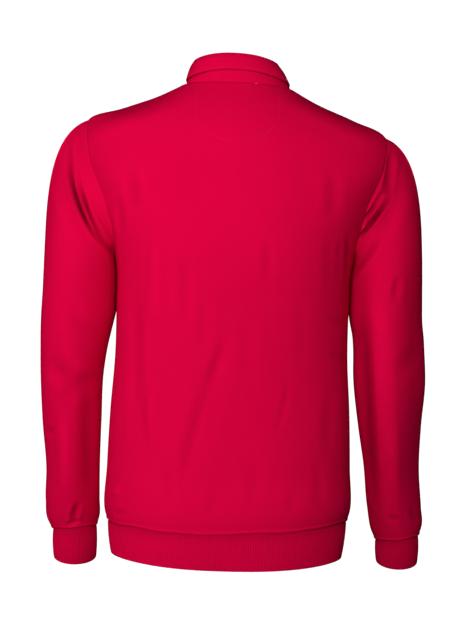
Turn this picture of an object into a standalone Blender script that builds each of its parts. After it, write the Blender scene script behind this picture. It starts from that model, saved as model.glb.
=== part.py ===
"""A knitted sweatshirt in its worn shape, with no wearer: hollow, open at neck, hem and cuffs.

Every piece is a thin closed wall. The front faces -Y, the wearer's left is +X and Z points up.
The origin is the middle of the neck base, level with the points where collar and shoulders meet.
Lengths in this file are millimetres; solid() turns them into metres.
"""

import math
from collections import namedtuple

import bmesh
import bpy
import numpy as np
from mathutils import Matrix, Vector

METRES = 0.001

# Cloth: body fabric, double-layer rib, and the two layers of the placket bands.
JERSEY_WALL = 1.6
RIB_WALL = 2.0
COLLAR_WALL = 2.0
BAND_WALL = 2.5
SEAM_GAP = 0.3
HALF_GAP = SEAM_GAP / 2

# How the pieces are divided.
BODY_COLUMNS = 12
ARMHOLE_STEPS = 12
SLOT_COLUMNS = 2
COLLAR_COLUMNS = 36

# The trunk, ring by ring. The station is the way down the back. The sides, back and front of a
# ring lie at different heights, so each has its own drop below the neck base. Roundness is the
# ring's shape: 1 is an ellipse, smaller is squarer and larger is more pointed at the sides.
TrunkRing = namedtuple(
    "TrunkRing", "station half_width back front drop_side drop_back drop_front roundness"
)
TRUNK = (
    TrunkRing(0, 80, 60, 82, 0, -1, 80, 0.92),
    TrunkRing(45, 122, 84, 99, 21, 34, 100, 0.98),
    TrunkRing(95, 176, 103, 117, 42, 70, 123, 1.06),
    TrunkRing(150, 227, 115, 131, 64, 110, 148, 1.13),
    TrunkRing(200, 234, 123, 139, 112, 155, 179, 1.00),
    TrunkRing(258, 206, 128, 142, 182, 205, 214, 0.90),
    TrunkRing(318, 181, 130, 141, 257, 262, 262, 0.87),
    TrunkRing(344, 177, 129, 140, 284, 288, 288, 0.87),
    TrunkRing(390, 176, 125, 138, 330, 332, 332, 0.87),
    TrunkRing(470, 176, 116, 133, 410, 412, 412, 0.87),
    TrunkRing(550, 181, 114, 131, 490, 493, 492, 0.87),
    TrunkRing(635, 184, 119, 132, 576, 580, 578, 0.87),
    TrunkRing(706, 185, 126, 133, 645, 652, 648, 0.86),
    TrunkRing(722, 181, 124, 131, 657, 667, 661, 0.85),
)
NECK_STATION = TRUNK[0].station
TIP_STATION = TRUNK[3].station
ARMPIT_STATION = TRUNK[6].station
HEM_STATION = TRUNK[-1].station
YOKE_STATIONS = (0, 24, 52, 84, 118, 150)
SKIRT_STATIONS = (318, 350, 390, 432, 476, 520, 564, 606, 644, 674, 695, 708, 722)

# The armhole is an oval bite out of the trunk's side, from shoulder tip to armpit.
ARMHOLE_MIDDLE = (TIP_STATION + ARMPIT_STATION) / 2
ARMHOLE_HALF = (ARMPIT_STATION - TIP_STATION) / 2
ARMHOLE_REACH = math.radians(27)

# The garment hangs a little askew: the left shoulder is higher, the left end of the hem seam
# is lower, and the collar sways to the left above the neck seam.
LEAN_DROPS = (40, 62, 150, 660, 715)
LEANS = (0.024, 0.036, 0.017, -0.022, 0.0)
COLLAR_SWAY = 0.12

# A sleeve below its cap. Tilts are the slope of a ring towards the back and away from the body.
ArmRing = namedtuple("ArmRing", "drop centre_x centre_y half_width half_depth tilt_back tilt_out")
LEFT_ARM = (
    ArmRing(290, 233.9, -10, 55.6, 71, 0.00, 0),
    ArmRing(320, 234.3, -12, 56.1, 69, -0.03, 0),
    ArmRing(352, 235.6, -13, 56.2, 66, -0.07, 0),
    ArmRing(375, 238, -15, 54.2, 63, -0.10, 0),
    ArmRing(394, 240, -17, 52, 60.5, -0.14, 0),
    ArmRing(437, 243, -24, 48.5, 57, -0.22, 0),
    ArmRing(512, 243, -42, 45.5, 51, -0.30, 0),
    ArmRing(590, 241, -61, 41.5, 46, -0.30, 0),
    ArmRing(640, 241.5, -74, 42, 43, -0.30, 0),
    ArmRing(669, 240, -82, 40.5, 41, -0.30, 0),
    ArmRing(684, 237.5, -86, 34, 33, -0.30, 0),
)
RIGHT_ARM = (
    ArmRing(290, 233.2, -10, 54.9, 71, 0.00, 0),
    ArmRing(320, 233.6, -12, 55.4, 69, -0.03, 0),
    ArmRing(352, 234.8, -13, 55.4, 66, -0.07, 0),
    ArmRing(375, 238.6, -15, 54.6, 63, -0.10, 0),
    ArmRing(394, 240.3, -17, 54.5, 60.5, -0.14, 0),
    ArmRing(437, 242.8, -24, 55.3, 57, -0.22, 0),
    ArmRing(512, 246.6, -42, 48.6, 51, -0.30, 0),
    ArmRing(575, 252.4, -58, 43, 46, -0.30, 0),
    ArmRing(640, 260, -75, 42, 43, -0.30, 0.05),
    ArmRing(672, 265, -83, 39.5, 41, -0.30, 0.12),
    ArmRing(687, 266, -87, 33.5, 33, -0.30, 0.12),
)
LEFT_CUFF = (
    ArmRing(684, 237.5, -86, 34, 33, -0.30, 0),
    ArmRing(732, 237.5, -100, 33.5, 31, -0.30, 0),
)
RIGHT_CUFF = (
    ArmRing(687, 266, -87, 33.5, 33, -0.30, 0.12),
    ArmRing(727, 268, -99, 32.5, 31, -0.30, 0),
)
ARM_DROPS = (318, 345, 370, 394, 420, 450, 488, 528, 566, 602, 632, 654, 669, 678)

# The sleeve's cap: how far its curve runs on from the armhole and into the arm, at the
# shoulder tip, at the back and front of the armhole, and at the armpit.
CAP_STEPS = (0.0, 0.07, 0.17, 0.30, 0.46, 0.64, 0.82)
CAP_QUARTERS = (0, 90, 180)
CAP_STARTS = {1: (216, 60, 14), -1: (176, 60, 14)}
CAP_ENDS = (262, 150, 40)
CAP_LIFT = {1: 1.6, -1: 1.2}
CAP_FALL = 1.0
PIT_SPREAD = 0.5

# Folds: soft troughs between two places seen from the back (x across, drop below the neck base).
# A fold with a negative depth is a ridge.
Fold = namedtuple("Fold", "x_top drop_top x_end drop_end width depth")
BACK_FOLDS = (
    Fold(3, 345, 30, 440, 13, 3.0),
    Fold(26, 425, 52, 540, 14, 3.6),
    Fold(48, 520, 76, 632, 13, 3.0),
    Fold(-86, 415, -72, 490, 10, 1.8),
    Fold(-75, 480, -58, 560, 10, 1.6),
    Fold(120, 240, 140, 410, 13, 2.6),
    Fold(72, 225, 64, 410, 14, 2.0),
    Fold(-48, 235, -42, 355, 13, 1.8),
    Fold(-139, 125, -134, 215, 14, 2.0),
    Fold(-134, 200, -152, 370, 14, 2.4),
    Fold(160, 150, 164, 240, 10, 1.8),
    Fold(150, 585, 168, 640, 10, 2.4),
    Fold(-154, 585, -158, 655, 10, 2.2),
    Fold(20, 600, 34, 655, 10, 1.2),
    Fold(-96, 605, -88, 655, 10, 1.2),
)
FRONT_FOLDS = (
    Fold(130, 250, 96, 360, 14, 3.0),
    Fold(96, 350, 88, 470, 14, 2.2),
    Fold(-126, 255, -88, 350, 14, 3.0),
    Fold(-92, 360, -104, 500, 13, 2.4),
    Fold(-40, 400, -12, 520, 14, 3.0),
    Fold(-14, 505, 26, 625, 13, 2.8),
    Fold(58, 500, 74, 630, 12, 2.2),
    Fold(148, 420, 152, 560, 12, 2.2),
    Fold(-150, 560, -140, 650, 11, 2.2),
    Fold(110, 600, 120, 655, 10, 1.8),
)
SLEEVE_BACK_FOLDS = {
    1: (
        Fold(256, 104, 222, 200, 11, 3.2),
        Fold(224, 196, 184, 256, 9, 3.0),
        Fold(238, 145, 206, 206, 8, 2.6),
        Fold(207, 203, 184, 246, 7, 2.0),
        Fold(262, 330, 200, 398, 11, 2.0),
        Fold(206, 400, 268, 444, 10, 2.2),
        Fold(262, 470, 214, 520, 10, 1.6),
        Fold(274, 455, 292, 462, 7, 2.6),
        Fold(222, 648, 262, 682, 8, 3.4),
        Fold(200, 660, 226, 650, 7, 2.4),
    ),
    -1: (
        Fold(234, 120, 218, 176, 9, 3.0),
        Fold(220, 172, 186, 222, 9, 3.0),
        Fold(222, 176, 188, 240, 8, -2.0),
        Fold(214, 240, 190, 276, 9, 2.8),
        Fold(256, 340, 198, 404, 11, 2.2),
        Fold(204, 402, 262, 450, 10, 2.2),
        Fold(272, 452, 292, 470, 8, 2.6),
        Fold(236, 500, 222, 640, 11, 2.4),
        Fold(284, 560, 276, 668, 11, 2.4),
    ),
}
SLEEVE_FRONT_FOLDS = {
    1: (
        Fold(240, 120, 214, 210, 11, 2.8),
        Fold(214, 205, 192, 260, 9, 2.4),
        Fold(206, 350, 270, 382, 9, 3.0),
        Fold(204, 392, 272, 404, 9, 3.4),
        Fold(208, 430, 266, 420, 9, 2.8),
        Fold(214, 560, 262, 600, 10, 2.0),
    ),
    -1: (
        Fold(236, 124, 210, 214, 11, 2.8),
        Fold(212, 210, 190, 262, 9, 2.4),
        Fold(204, 352, 268, 378, 9, 3.0),
        Fold(202, 390, 270, 402, 9, 3.4),
        Fold(206, 428, 268, 424, 9, 2.8),
        Fold(234, 545, 280, 590, 10, 2.0),
    ),
}
FOLD_FADE = 34
TINY = 1e-6

# Ribs stand out of the hem band and the cuffs.
HEM_RIBS = 280
CUFF_RIBS = 58
RIB_HEIGHT = 0.7
HEM_RIBS_PER_SPAN = 4
CUFF_RIBS_PER_SPAN = 2
HEM_FOOT = TrunkRing(780, 175, 119, 126, 709, 720.5, 713, 0.83)

# The collar. The stand climbs from the neck seam to the fold; the fall turns down outside it.
CollarRing = namedtuple(
    "CollarRing", "half_width back front drop_side drop_back drop_front roundness"
)
STAND_MIDDLE = CollarRing(69, 57, 79, -17, -22, 62, 0.90)
STAND_TOP = CollarRing(61.5, 52.5, 76, -34, -42, 43, 0.88)
FALL_MIDDLE = CollarRing(73, 61, 93, -22, -32, 72, 0.88)
FALL_EDGE = CollarRing(79.5, 65, 106, -6, -19, 98, 0.88)
STAND_END = 1.8
FALL_END = 3.0
FALL_POINT = 40
FOLD_RISE = 2.6
FOLD_REACH = 2.8

# The front placket: a slot at the centre front with an upper and a lower band.
SLOT_HALF = 15
SLOT_STEPS = 7
BAND_PROUD = 1.2
BUTTON_STATIONS = (26, 112, 196)
BUTTON_RADIUS = 5.7
BUTTON_RIM = 1.2
BUTTON_WALL = 2.4
BUTTON_DISH = 0.6
BUTTON_SIDES = 20
HOLE_RADIUS = 0.9
HOLE_OFFSET = 1.45
HOLE_SIDES = 6

CRIMSON = (0.600, 0.002, 0.052, 1.0)
CRIMSON_RIB = (0.520, 0.002, 0.042, 1.0)
BUTTON_RED = (0.330, 0.004, 0.030, 1.0)


def clear_scene():
    for item in list(bpy.data.objects):
        bpy.data.objects.remove(item)


def finish(name, colour, roughness):
    material = bpy.data.materials.new(name)
    material.use_nodes = True
    shader = material.node_tree.nodes["Principled BSDF"]
    shader.inputs["Base Color"].default_value = colour
    shader.inputs["Roughness"].default_value = roughness
    shader.inputs["Metallic"].default_value = 0.0
    return material


def solid(name, points, faces, material):
    """One closed body from points in millimetres, with its faces pointing out."""
    mesh = bpy.data.meshes.new(name)
    mesh.from_pydata([tuple(point) for point in np.asarray(points) * METRES], [], faces)
    form = bmesh.new()
    form.from_mesh(mesh)
    loose = [vertex for vertex in form.verts if not vertex.link_faces]
    bmesh.ops.delete(form, geom=loose, context="VERTS")
    bmesh.ops.recalc_face_normals(form, faces=form.faces)
    form.to_mesh(mesh)
    form.free()
    mesh.shade_smooth()
    mesh.set_sharp_from_angle(angle=math.radians(40))
    mesh.materials.append(material)
    item = bpy.data.objects.new(name, mesh)
    bpy.context.scene.collection.objects.link(item)
    return item


def unit(vector):
    return vector / np.linalg.norm(vector)


def read_table(table, key):
    """All columns of a table at one value of its first column, on a smooth curve through its rows."""
    rows = np.array(table, float)
    knots = rows[:, 0]
    slopes = np.gradient(rows, knots, axis=0)
    row = int(np.clip(np.searchsorted(knots, key) - 1, 0, len(knots) - 2))
    step = knots[row + 1] - knots[row]
    t = (key - knots[row]) / step
    start = (1 + 2 * t) * (1 - t) ** 2 * rows[row] + t * (1 - t) ** 2 * step * slopes[row]
    end = t * t * (3 - 2 * t) * rows[row + 1] + t * t * (t - 1) * step * slopes[row + 1]
    return type(table[0])(*(start + end))


def rounded(value, roundness):
    return math.copysign(abs(value) ** roundness, value)


def ring_point(ring, turn):
    """A point of a level ring; turn 0 is the wearer's left, a quarter turn is the back."""
    sideways = math.cos(turn)
    backwards = math.sin(turn)
    depth = ring.back if backwards > 0 else ring.front
    end_drop = ring.drop_back if backwards > 0 else ring.drop_front
    drop = ring.drop_side + (end_drop - ring.drop_side) * backwards ** 2
    x = ring.half_width * rounded(sideways, ring.roundness)
    y = depth * rounded(backwards, ring.roundness)
    return np.array((x, y, -drop))


def lean(point):
    """The point with the garment's slight tilt: one side a little higher than the other."""
    share = np.interp(-point[2], LEAN_DROPS, LEANS)
    sway = COLLAR_SWAY * max(0.0, point[2])
    return point + np.array((sway, 0, point[0] * share))


def smooth(value):
    value = min(max(value, 0.0), 1.0)
    return value * value * (3 - 2 * value)


def fold_depth(folds, x, drop):
    """How deep the folds of a table are at one place."""
    total = 0.0
    for fold in folds:
        start = np.array((fold.x_top, fold.drop_top))
        run = np.array((fold.x_end, fold.drop_end)) - start
        along = np.dot(np.array((x, drop)) - start, run) / np.dot(run, run)
        if 0 < along < 1:
            aside = np.linalg.norm(np.array((x, drop)) - start - along * run)
            ends = math.sin(math.pi * along) ** 0.7
            total += fold.depth * ends * math.exp(-((aside / fold.width) ** 2))
    return total


def smooth_trunk(turn, station):
    return lean(ring_point(read_table(TRUNK, station), turn))


def trunk_normal(turn, station):
    turn_step = 0.02
    station_step = 1.0
    low = max(station - station_step, NECK_STATION)
    high = min(station + station_step, HEM_STATION)
    around = smooth_trunk(turn + turn_step, station) - smooth_trunk(turn - turn_step, station)
    down = smooth_trunk(turn, high) - smooth_trunk(turn, low)
    return unit(np.cross(down, around))


def trunk(turn, station):
    """A point of the trunk's outer face, with its folds."""
    point = smooth_trunk(turn, station)
    folds = BACK_FOLDS if point[1] > 0 else FRONT_FOLDS
    fade = smooth(abs(point[1]) / FOLD_FADE)
    depth = fold_depth(folds, point[0], -point[2]) * fade
    return point - trunk_normal(turn, station) * depth


def armhole_place(angle):
    """Turn and station of the armhole seam; angle 0 is the shoulder tip, a half turn the armpit."""
    turn = ARMHOLE_REACH * math.sin(angle)
    return turn, ARMHOLE_MIDDLE - ARMHOLE_HALF * math.cos(angle)


def armhole(angle, side):
    """A seam point of the armhole, the trunk's normal there, and the way into the sleeve."""
    def place(at):
        turn, station = armhole_place(at)
        return (turn if side > 0 else math.pi - turn), station

    angle_step = 0.01
    point = trunk(*place(angle))
    normal = trunk_normal(*place(angle))
    along = trunk(*place(angle + angle_step)) - trunk(*place(angle - angle_step))
    inward = unit(np.cross(normal, along))
    across = trunk(*place(angle + math.pi)) - point
    return point, normal, inward if np.dot(inward, across) > 0 else -inward


def wall(name, outer, inner, material, closed=False, missing=()):
    """A closed thin wall between two grids of points; closed joins the last column to the first."""
    rows, columns = outer.shape[:2]
    spans = columns if closed else columns - 1
    cells = {(row, column) for row in range(rows - 1) for column in range(spans)} - set(missing)
    behind = rows * columns

    def corner(row, column):
        return row * columns + column % columns

    faces = []
    for row, column in sorted(cells):
        a = corner(row, column)
        b = corner(row, column + 1)
        c = corner(row + 1, column + 1)
        d = corner(row + 1, column)
        faces += [(a, b, c), (a, c, d)]
        faces += [(c + behind, b + behind, a + behind), (d + behind, c + behind, a + behind)]
        edges = ((a, b, -1, 0), (b, c, 0, 1), (c, d, 1, 0), (d, a, 0, -1))
        for near, far, row_step, column_step in edges:
            beside = column + column_step
            if closed:
                beside %= spans
            if (row + row_step, beside) not in cells:
                faces.append((far, near, near + behind, far + behind))
    points = np.concatenate((outer.reshape(-1, 3), inner.reshape(-1, 3)))
    return solid(name, points, faces, material)


def slot_turn(station, half):
    """The turn at which the front ring at a station lies the given way from the centre front."""
    ring = read_table(TRUNK, station)
    return math.acos((half / ring.half_width) ** (1 / ring.roundness))


def panel_rows():
    """Stations of a panel's rows, with the armhole angle of the rows beside the sleeve."""
    rows = [(station, None) for station in YOKE_STATIONS[:-1]]
    for step in range(ARMHOLE_STEPS + 1):
        angle = math.pi * step / ARMHOLE_STEPS
        rows.append((armhole_place(angle)[1], angle))
    return rows + [(station, None) for station in SKIRT_STATIONS[1:]]


def panel_point(turn, station, angle, face):
    """Outer and inner point of a panel, drawn back from every seam that it lies on."""
    point = trunk(turn, station)
    normal = trunk_normal(turn, station)
    side = 1 if math.cos(turn) > 0 else -1
    shift = np.zeros(3)
    at_edge = angle is not None
    reach = armhole_place(angle)[0] if at_edge else 0.0
    turned = abs(math.sin(turn))
    on_edge = abs(turned - math.sin(reach)) < TINY
    if on_edge and at_edge:
        shift -= armhole(face * angle, side)[2] * HALF_GAP
    if on_edge and reach < TINY:
        shift += np.array((0, face, 0)) * HALF_GAP
    if station == NECK_STATION:
        shift += unit(smooth_trunk(turn, station + 1) - smooth_trunk(turn, station)) * HALF_GAP
    if station == HEM_STATION:
        shift += unit(smooth_trunk(turn, station - 1) - smooth_trunk(turn, station)) * HALF_GAP
    return point + shift, point + shift - normal * JERSEY_WALL


def panel(name, face, material):
    """The back (face 1) or the front (face -1), between shoulder, armhole and side seams."""
    rows = panel_rows()
    slot_end = len(YOKE_STATIONS) - 1 + SLOT_STEPS
    outer = []
    inner = []
    for row, (station, angle) in enumerate(rows):
        edge = armhole_place(angle)[0] if angle is not None else 0.0
        middle = slot_turn(station, SLOT_HALF + HALF_GAP)
        turns = list(np.linspace(edge, middle, BODY_COLUMNS))
        turns += list(np.linspace(middle, math.pi - middle, SLOT_COLUMNS + 1))[1:-1]
        turns += [math.pi - turn for turn in reversed(turns[:BODY_COLUMNS])]
        if face < 0 and row == slot_end:
            station += HALF_GAP
        pairs = [panel_point(face * turn, station, angle, face) for turn in turns]
        outer.append([pair[0] for pair in pairs])
        inner.append([pair[1] for pair in pairs])
    missing = []
    if face < 0:
        slot = range(BODY_COLUMNS - 1, BODY_COLUMNS - 1 + SLOT_COLUMNS)
        missing = [(row, column) for row in range(slot_end) for column in slot]
    return wall(name, np.array(outer), np.array(inner), material, missing=missing)


def arm_point(ring, angle, side):
    """A point of a sleeve ring; angle 0 is the outer side and a quarter turn is the back."""
    out = ring.half_width * math.cos(angle)
    back = ring.half_depth * math.sin(angle)
    z = -ring.drop + ring.tilt_back * back + ring.tilt_out * out
    return np.array((side * (ring.centre_x + out), ring.centre_y + back, z))


def cap_curve(angle, side, arms, t):
    """A point on the way from the armhole seam to the first full ring of the sleeve."""
    seam, _, inward = armhole(angle, side)
    top = max(0.0, math.cos(angle))
    low = max(0.0, -math.cos(angle))
    out = CAP_LIFT[side] * top + PIT_SPREAD * low
    start = unit(inward + np.array((side * out, 0, -CAP_FALL * abs(math.sin(angle)))))
    half_turn = abs((math.degrees(angle) + 180) % 360 - 180)
    start = start * np.interp(half_turn, CAP_QUARTERS, CAP_STARTS[side])
    ring = arm_point(arms[0], angle, side)
    below = arm_point(read_table(arms, arms[0].drop + 1), angle, side)
    end = unit(below - ring) * np.interp(half_turn, CAP_QUARTERS, CAP_ENDS)
    seam = seam + inward * HALF_GAP
    first = (1 + 2 * t) * (1 - t) ** 2 * seam + t * (1 - t) ** 2 * start
    return first + t * t * (3 - 2 * t) * ring + t * t * (t - 1) * end


def grid_normals(grid, side):
    """Outward normals of a closed tube of points, from the neighbours of each point."""
    around = np.roll(grid, -1, axis=1) - np.roll(grid, 1, axis=1)
    down = np.gradient(grid, axis=0)
    normals = np.cross(around, down) * -side
    return normals / np.linalg.norm(normals, axis=2, keepdims=True)


def sleeve(name, side, arms, material):
    """A set-in sleeve: its cap grows out of the armhole, and rings carry it to the cuff seam."""
    columns = 2 * ARMHOLE_STEPS
    angles = [2 * math.pi * column / columns for column in range(columns)]
    rows = [[cap_curve(angle, side, arms, t) for angle in angles] for t in CAP_STEPS]
    drops = [arms[0].drop, *ARM_DROPS, arms[-1].drop - HALF_GAP]
    for drop in drops:
        ring = read_table(arms, drop)
        rows.append([arm_point(ring, angle, side) for angle in angles])
    smooth_grid = np.array(rows)
    normals = grid_normals(smooth_grid, side)
    normals[0] = [armhole(angle, side)[1] for angle in angles]
    outer = smooth_grid.copy()
    for row in range(1, len(rows) - 1):
        middle = smooth_grid[row, :, 1].mean()
        ends = smooth(row / 2)
        for column in range(columns):
            x, y, z = smooth_grid[row, column]
            folds = SLEEVE_BACK_FOLDS if y > middle else SLEEVE_FRONT_FOLDS
            fade = smooth(abs(y - middle) / FOLD_FADE) * ends
            outer[row, column] -= normals[row, column] * fold_depth(folds[side], abs(x), -z) * fade
    inner = outer - normals * JERSEY_WALL
    return wall(name, outer, inner, material, closed=True)


def ribbed_band(name, outline, spans, ribs_per_span, material):
    """A band with raised ribs over a plain inside; outline gives point and normal at a share round.

    outline(share, level) takes a share of the way round and 0 at the top or 1 at the foot.
    """
    teeth = 2 * ribs_per_span
    around = spans * teeth
    points = []
    for level in (0, 1):
        for tooth in range(around):
            point, normal = outline(tooth / around, level)
            points.append(point + normal * (RIB_HEIGHT if tooth % 2 else 0.0))
    for level in (0, 1):
        for span in range(spans):
            point, normal = outline(span / spans, level)
            points.append(point - normal * RIB_WALL)
    inside = 2 * around
    faces = []
    for tooth in range(around):
        after = (tooth + 1) % around
        faces += [(tooth, after, after + around), (tooth, after + around, tooth + around)]
    for span in range(spans):
        after = (span + 1) % spans
        low = inside + spans
        faces += [(inside + span, low + span, low + after), (inside + span, low + after, inside + after)]
        for start, level in ((inside, 0), (low, around)):
            teeth_run = [level + (span * teeth + tooth) % around for tooth in range(teeth + 1)]
            faces.append((start + span, start + after, *reversed(teeth_run)))
    return solid(name, points, faces, material)


def even_shares(ring, steps=720):
    """A lookup from a share of the way round a trunk ring to its turn."""
    turns = np.linspace(0, 2 * math.pi, steps + 1)
    points = np.array([ring_point(ring, turn) for turn in turns])
    run = np.concatenate(([0], np.cumsum(np.linalg.norm(np.diff(points, axis=0), axis=1))))
    return lambda share: float(np.interp(share * run[-1], run, turns))


def hem_band(material):
    """The ribbed band below the trunk."""
    top = TRUNK[-1]
    turn_at = even_shares(top)

    def outline(share, level):
        turn = turn_at(share)
        ring = HEM_FOOT if level else top
        step = 0.01
        point = lean(ring_point(ring, turn))
        ahead = lean(ring_point(ring, turn + step)) - lean(ring_point(ring, turn - step))
        if not level:
            point = point - np.array((0, 0, HALF_GAP))
        return point, unit(np.cross(ahead, (0, 0, 1)))

    spans = HEM_RIBS // HEM_RIBS_PER_SPAN
    return ribbed_band("hem_band", outline, spans, HEM_RIBS_PER_SPAN, material)


def cuff(name, side, rings, material):
    """The ribbed cuff at the end of a sleeve."""
    def outline(share, level):
        angle = side * 2 * math.pi * share
        ring = rings[level]
        step = 0.01
        point = arm_point(ring, angle, side)
        ahead = arm_point(ring, angle + side * step, side) - arm_point(ring, angle - side * step, side)
        if not level:
            point = point - np.array((0, 0, HALF_GAP))
        return point, unit(np.cross(ahead, (0, 0, 1)))

    return ribbed_band(name, outline, CUFF_RIBS // CUFF_RIBS_PER_SPAN, CUFF_RIBS_PER_SPAN, material)


def collar_turns(ring, end):
    """Turns from one front end of the collar round the back to the other."""
    opening = math.acos((end / ring.half_width) ** (1 / ring.roundness))
    return np.linspace(-opening, math.pi + opening, COLLAR_COLUMNS)


def collar_row(ring, end):
    return np.array([lean(ring_point(ring, turn)) for turn in collar_turns(ring, end)])


def outward(row):
    """Level unit vectors pointing away from the neck, one for each point of a collar row."""
    ahead = np.gradient(row, axis=0)
    normals = np.cross(ahead, (0, 0, 1))
    return normals / np.linalg.norm(normals, axis=1, keepdims=True)


def collar_stand(material):
    neck = TRUNK[0]
    neck_ring = CollarRing(*neck[1:])
    rings = (neck_ring, STAND_MIDDLE, STAND_TOP)
    outer = np.array([collar_row(ring, STAND_END) for ring in rings])
    outer[0, :, 2] += HALF_GAP
    outer[-1, :, 2] -= HALF_GAP
    inner = outer - np.array([outward(row) for row in outer]) * COLLAR_WALL
    return wall("collar_stand", outer, inner, material)


def collar_fall(material):
    """The leaf: it sits on the stand's top edge, turns over and hangs outside it."""
    seam = collar_row(STAND_TOP, STAND_END)
    away = outward(seam)
    up = np.array((0, 0, 1))
    middle_end = (FALL_END + FALL_POINT) / 2
    middle = collar_row(FALL_MIDDLE, middle_end)
    edge = collar_row(FALL_EDGE, FALL_POINT)
    middle_inside = middle - outward(middle) * COLLAR_WALL
    edge_inside = edge - outward(edge) * COLLAR_WALL
    loops = (
        seam - away * COLLAR_WALL + up * HALF_GAP,
        seam - away * COLLAR_WALL + up * (HALF_GAP + FOLD_RISE / 2),
        seam - away * COLLAR_WALL / 2 + up * FOLD_RISE,
        seam + away * FOLD_REACH / 2 + up * FOLD_RISE,
        seam + away * FOLD_REACH,
        middle,
        edge,
        edge_inside,
        middle_inside,
        seam + away * HALF_GAP + up * HALF_GAP,
    )
    count = len(loops)
    points = np.stack(loops, axis=1).reshape(-1, 3)
    faces = [tuple(range(count)), tuple(range(len(points) - 1, len(points) - 1 - count, -1))]
    for column in range(COLLAR_COLUMNS - 1):
        for loop in range(count):
            a = column * count + loop
            b = column * count + (loop + 1) % count
            faces += [(a, b, b + count), (a, b + count, a + count)]
    return solid("collar_fall", points, faces, material)


def placket_band(name, proud, material):
    """A band in the front slot; proud is how far its outer face stands off the trunk."""
    rows = panel_rows()[:len(YOKE_STATIONS) + SLOT_STEPS]
    stations = [station for station, _ in rows]
    stations[0] += HALF_GAP
    stations[-1] -= HALF_GAP
    outer = []
    inner = []
    for station in stations:
        middle = slot_turn(station, SLOT_HALF - HALF_GAP)
        turns = np.linspace(middle, math.pi - middle, SLOT_COLUMNS + 1)
        points = np.array([trunk(-turn, station) for turn in turns])
        normals = np.array([trunk_normal(-turn, station) for turn in turns])
        outer.append(points + normals * proud)
        inner.append(points + normals * (proud - BAND_WALL))
    return wall(name, np.array(outer), np.array(inner), material)


def button(name, station, material):
    """A turned button with a raised rim, a shallow dish and four thread holes."""
    turn = -math.pi / 2
    normal = Vector(trunk_normal(turn, station))
    seat = Vector(trunk(turn, station)) + normal * (BAND_PROUD + SEAM_GAP)
    profile = (
        (0.0, 0.0),
        (BUTTON_RADIUS - BUTTON_RIM / 2, 0.0),
        (BUTTON_RADIUS, BUTTON_RIM / 2),
        (BUTTON_RADIUS, BUTTON_WALL - BUTTON_RIM / 2),
        (BUTTON_RADIUS - BUTTON_RIM / 2, BUTTON_WALL),
        (BUTTON_RADIUS - BUTTON_RIM, BUTTON_WALL),
        (BUTTON_RADIUS - 2 * BUTTON_RIM, BUTTON_WALL - BUTTON_DISH),
        (0.0, BUTTON_WALL - BUTTON_DISH),
    )
    points = [(0.0, 0.0, profile[0][1])]
    for radius, height in profile[1:-1]:
        for side in range(BUTTON_SIDES):
            turned = 2 * math.pi * side / BUTTON_SIDES
            points.append((radius * math.cos(turned), radius * math.sin(turned), height))
    points.append((0.0, 0.0, profile[-1][1]))
    faces = []
    last = len(points) - 1
    rings = len(profile) - 2
    for side in range(BUTTON_SIDES):
        after = (side + 1) % BUTTON_SIDES
        faces.append((0, 1 + after, 1 + side))
        for ring in range(rings - 1):
            low = 1 + ring * BUTTON_SIDES
            high = low + BUTTON_SIDES
            faces.append((low + side, low + after, high + after, high + side))
        top = 1 + (rings - 1) * BUTTON_SIDES
        faces.append((last, top + side, top + after))
    item = solid(name, points, faces, material)
    turning = normal.to_track_quat("Z", "Y").to_matrix().to_4x4()
    item.matrix_world = Matrix.Translation(seat * METRES) @ turning
    for column in (-1, 1):
        for row in (-1, 1):
            hole = button_hole(f"{name}_hole_{column}_{row}", column, row)
            hole.parent = item
            cut = item.modifiers.new("thread hole", "BOOLEAN")
            cut.operation = "DIFFERENCE"
            cut.object = hole
    return item


def button_hole(name, column, row):
    """A cutter through a button, off its middle by one hole's offset each way."""
    form = bmesh.new()
    place = Vector((column * HOLE_OFFSET, row * HOLE_OFFSET, BUTTON_WALL / 2)) * METRES
    bmesh.ops.create_cone(
        form,
        cap_ends=True,
        segments=HOLE_SIDES,
        radius1=HOLE_RADIUS * METRES,
        radius2=HOLE_RADIUS * METRES,
        depth=2 * BUTTON_WALL * METRES,
        matrix=Matrix.Translation(place),
    )
    mesh = bpy.data.meshes.new(name)
    form.to_mesh(mesh)
    form.free()
    hole = bpy.data.objects.new(name, mesh)
    bpy.context.scene.collection.objects.link(hole)
    hole.hide_render = True
    hole.display_type = "WIRE"
    return hole


def build():
    clear_scene()
    jersey = finish("red jersey", CRIMSON, 0.85)
    rib = finish("red rib knit", CRIMSON_RIB, 0.9)
    button_resin = finish("red button", BUTTON_RED, 0.35)
    panel("back", 1, jersey)
    panel("front", -1, jersey)
    sleeve("sleeve_left", 1, LEFT_ARM, jersey)
    sleeve("sleeve_right", -1, RIGHT_ARM, jersey)
    cuff("cuff_left", 1, LEFT_CUFF, rib)
    cuff("cuff_right", -1, RIGHT_CUFF, rib)
    hem_band(rib)
    collar_stand(jersey)
    collar_fall(jersey)
    placket_band("placket_upper", BAND_PROUD, jersey)
    placket_band("placket_lower", BAND_PROUD - BAND_WALL - SEAM_GAP, jersey)
    for number, station in enumerate(BUTTON_STATIONS, 1):
        button(f"button_{number}", station, button_resin)


build()
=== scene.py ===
import math

import bpy
import numpy as np
from mathutils import Matrix, Vector


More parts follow.
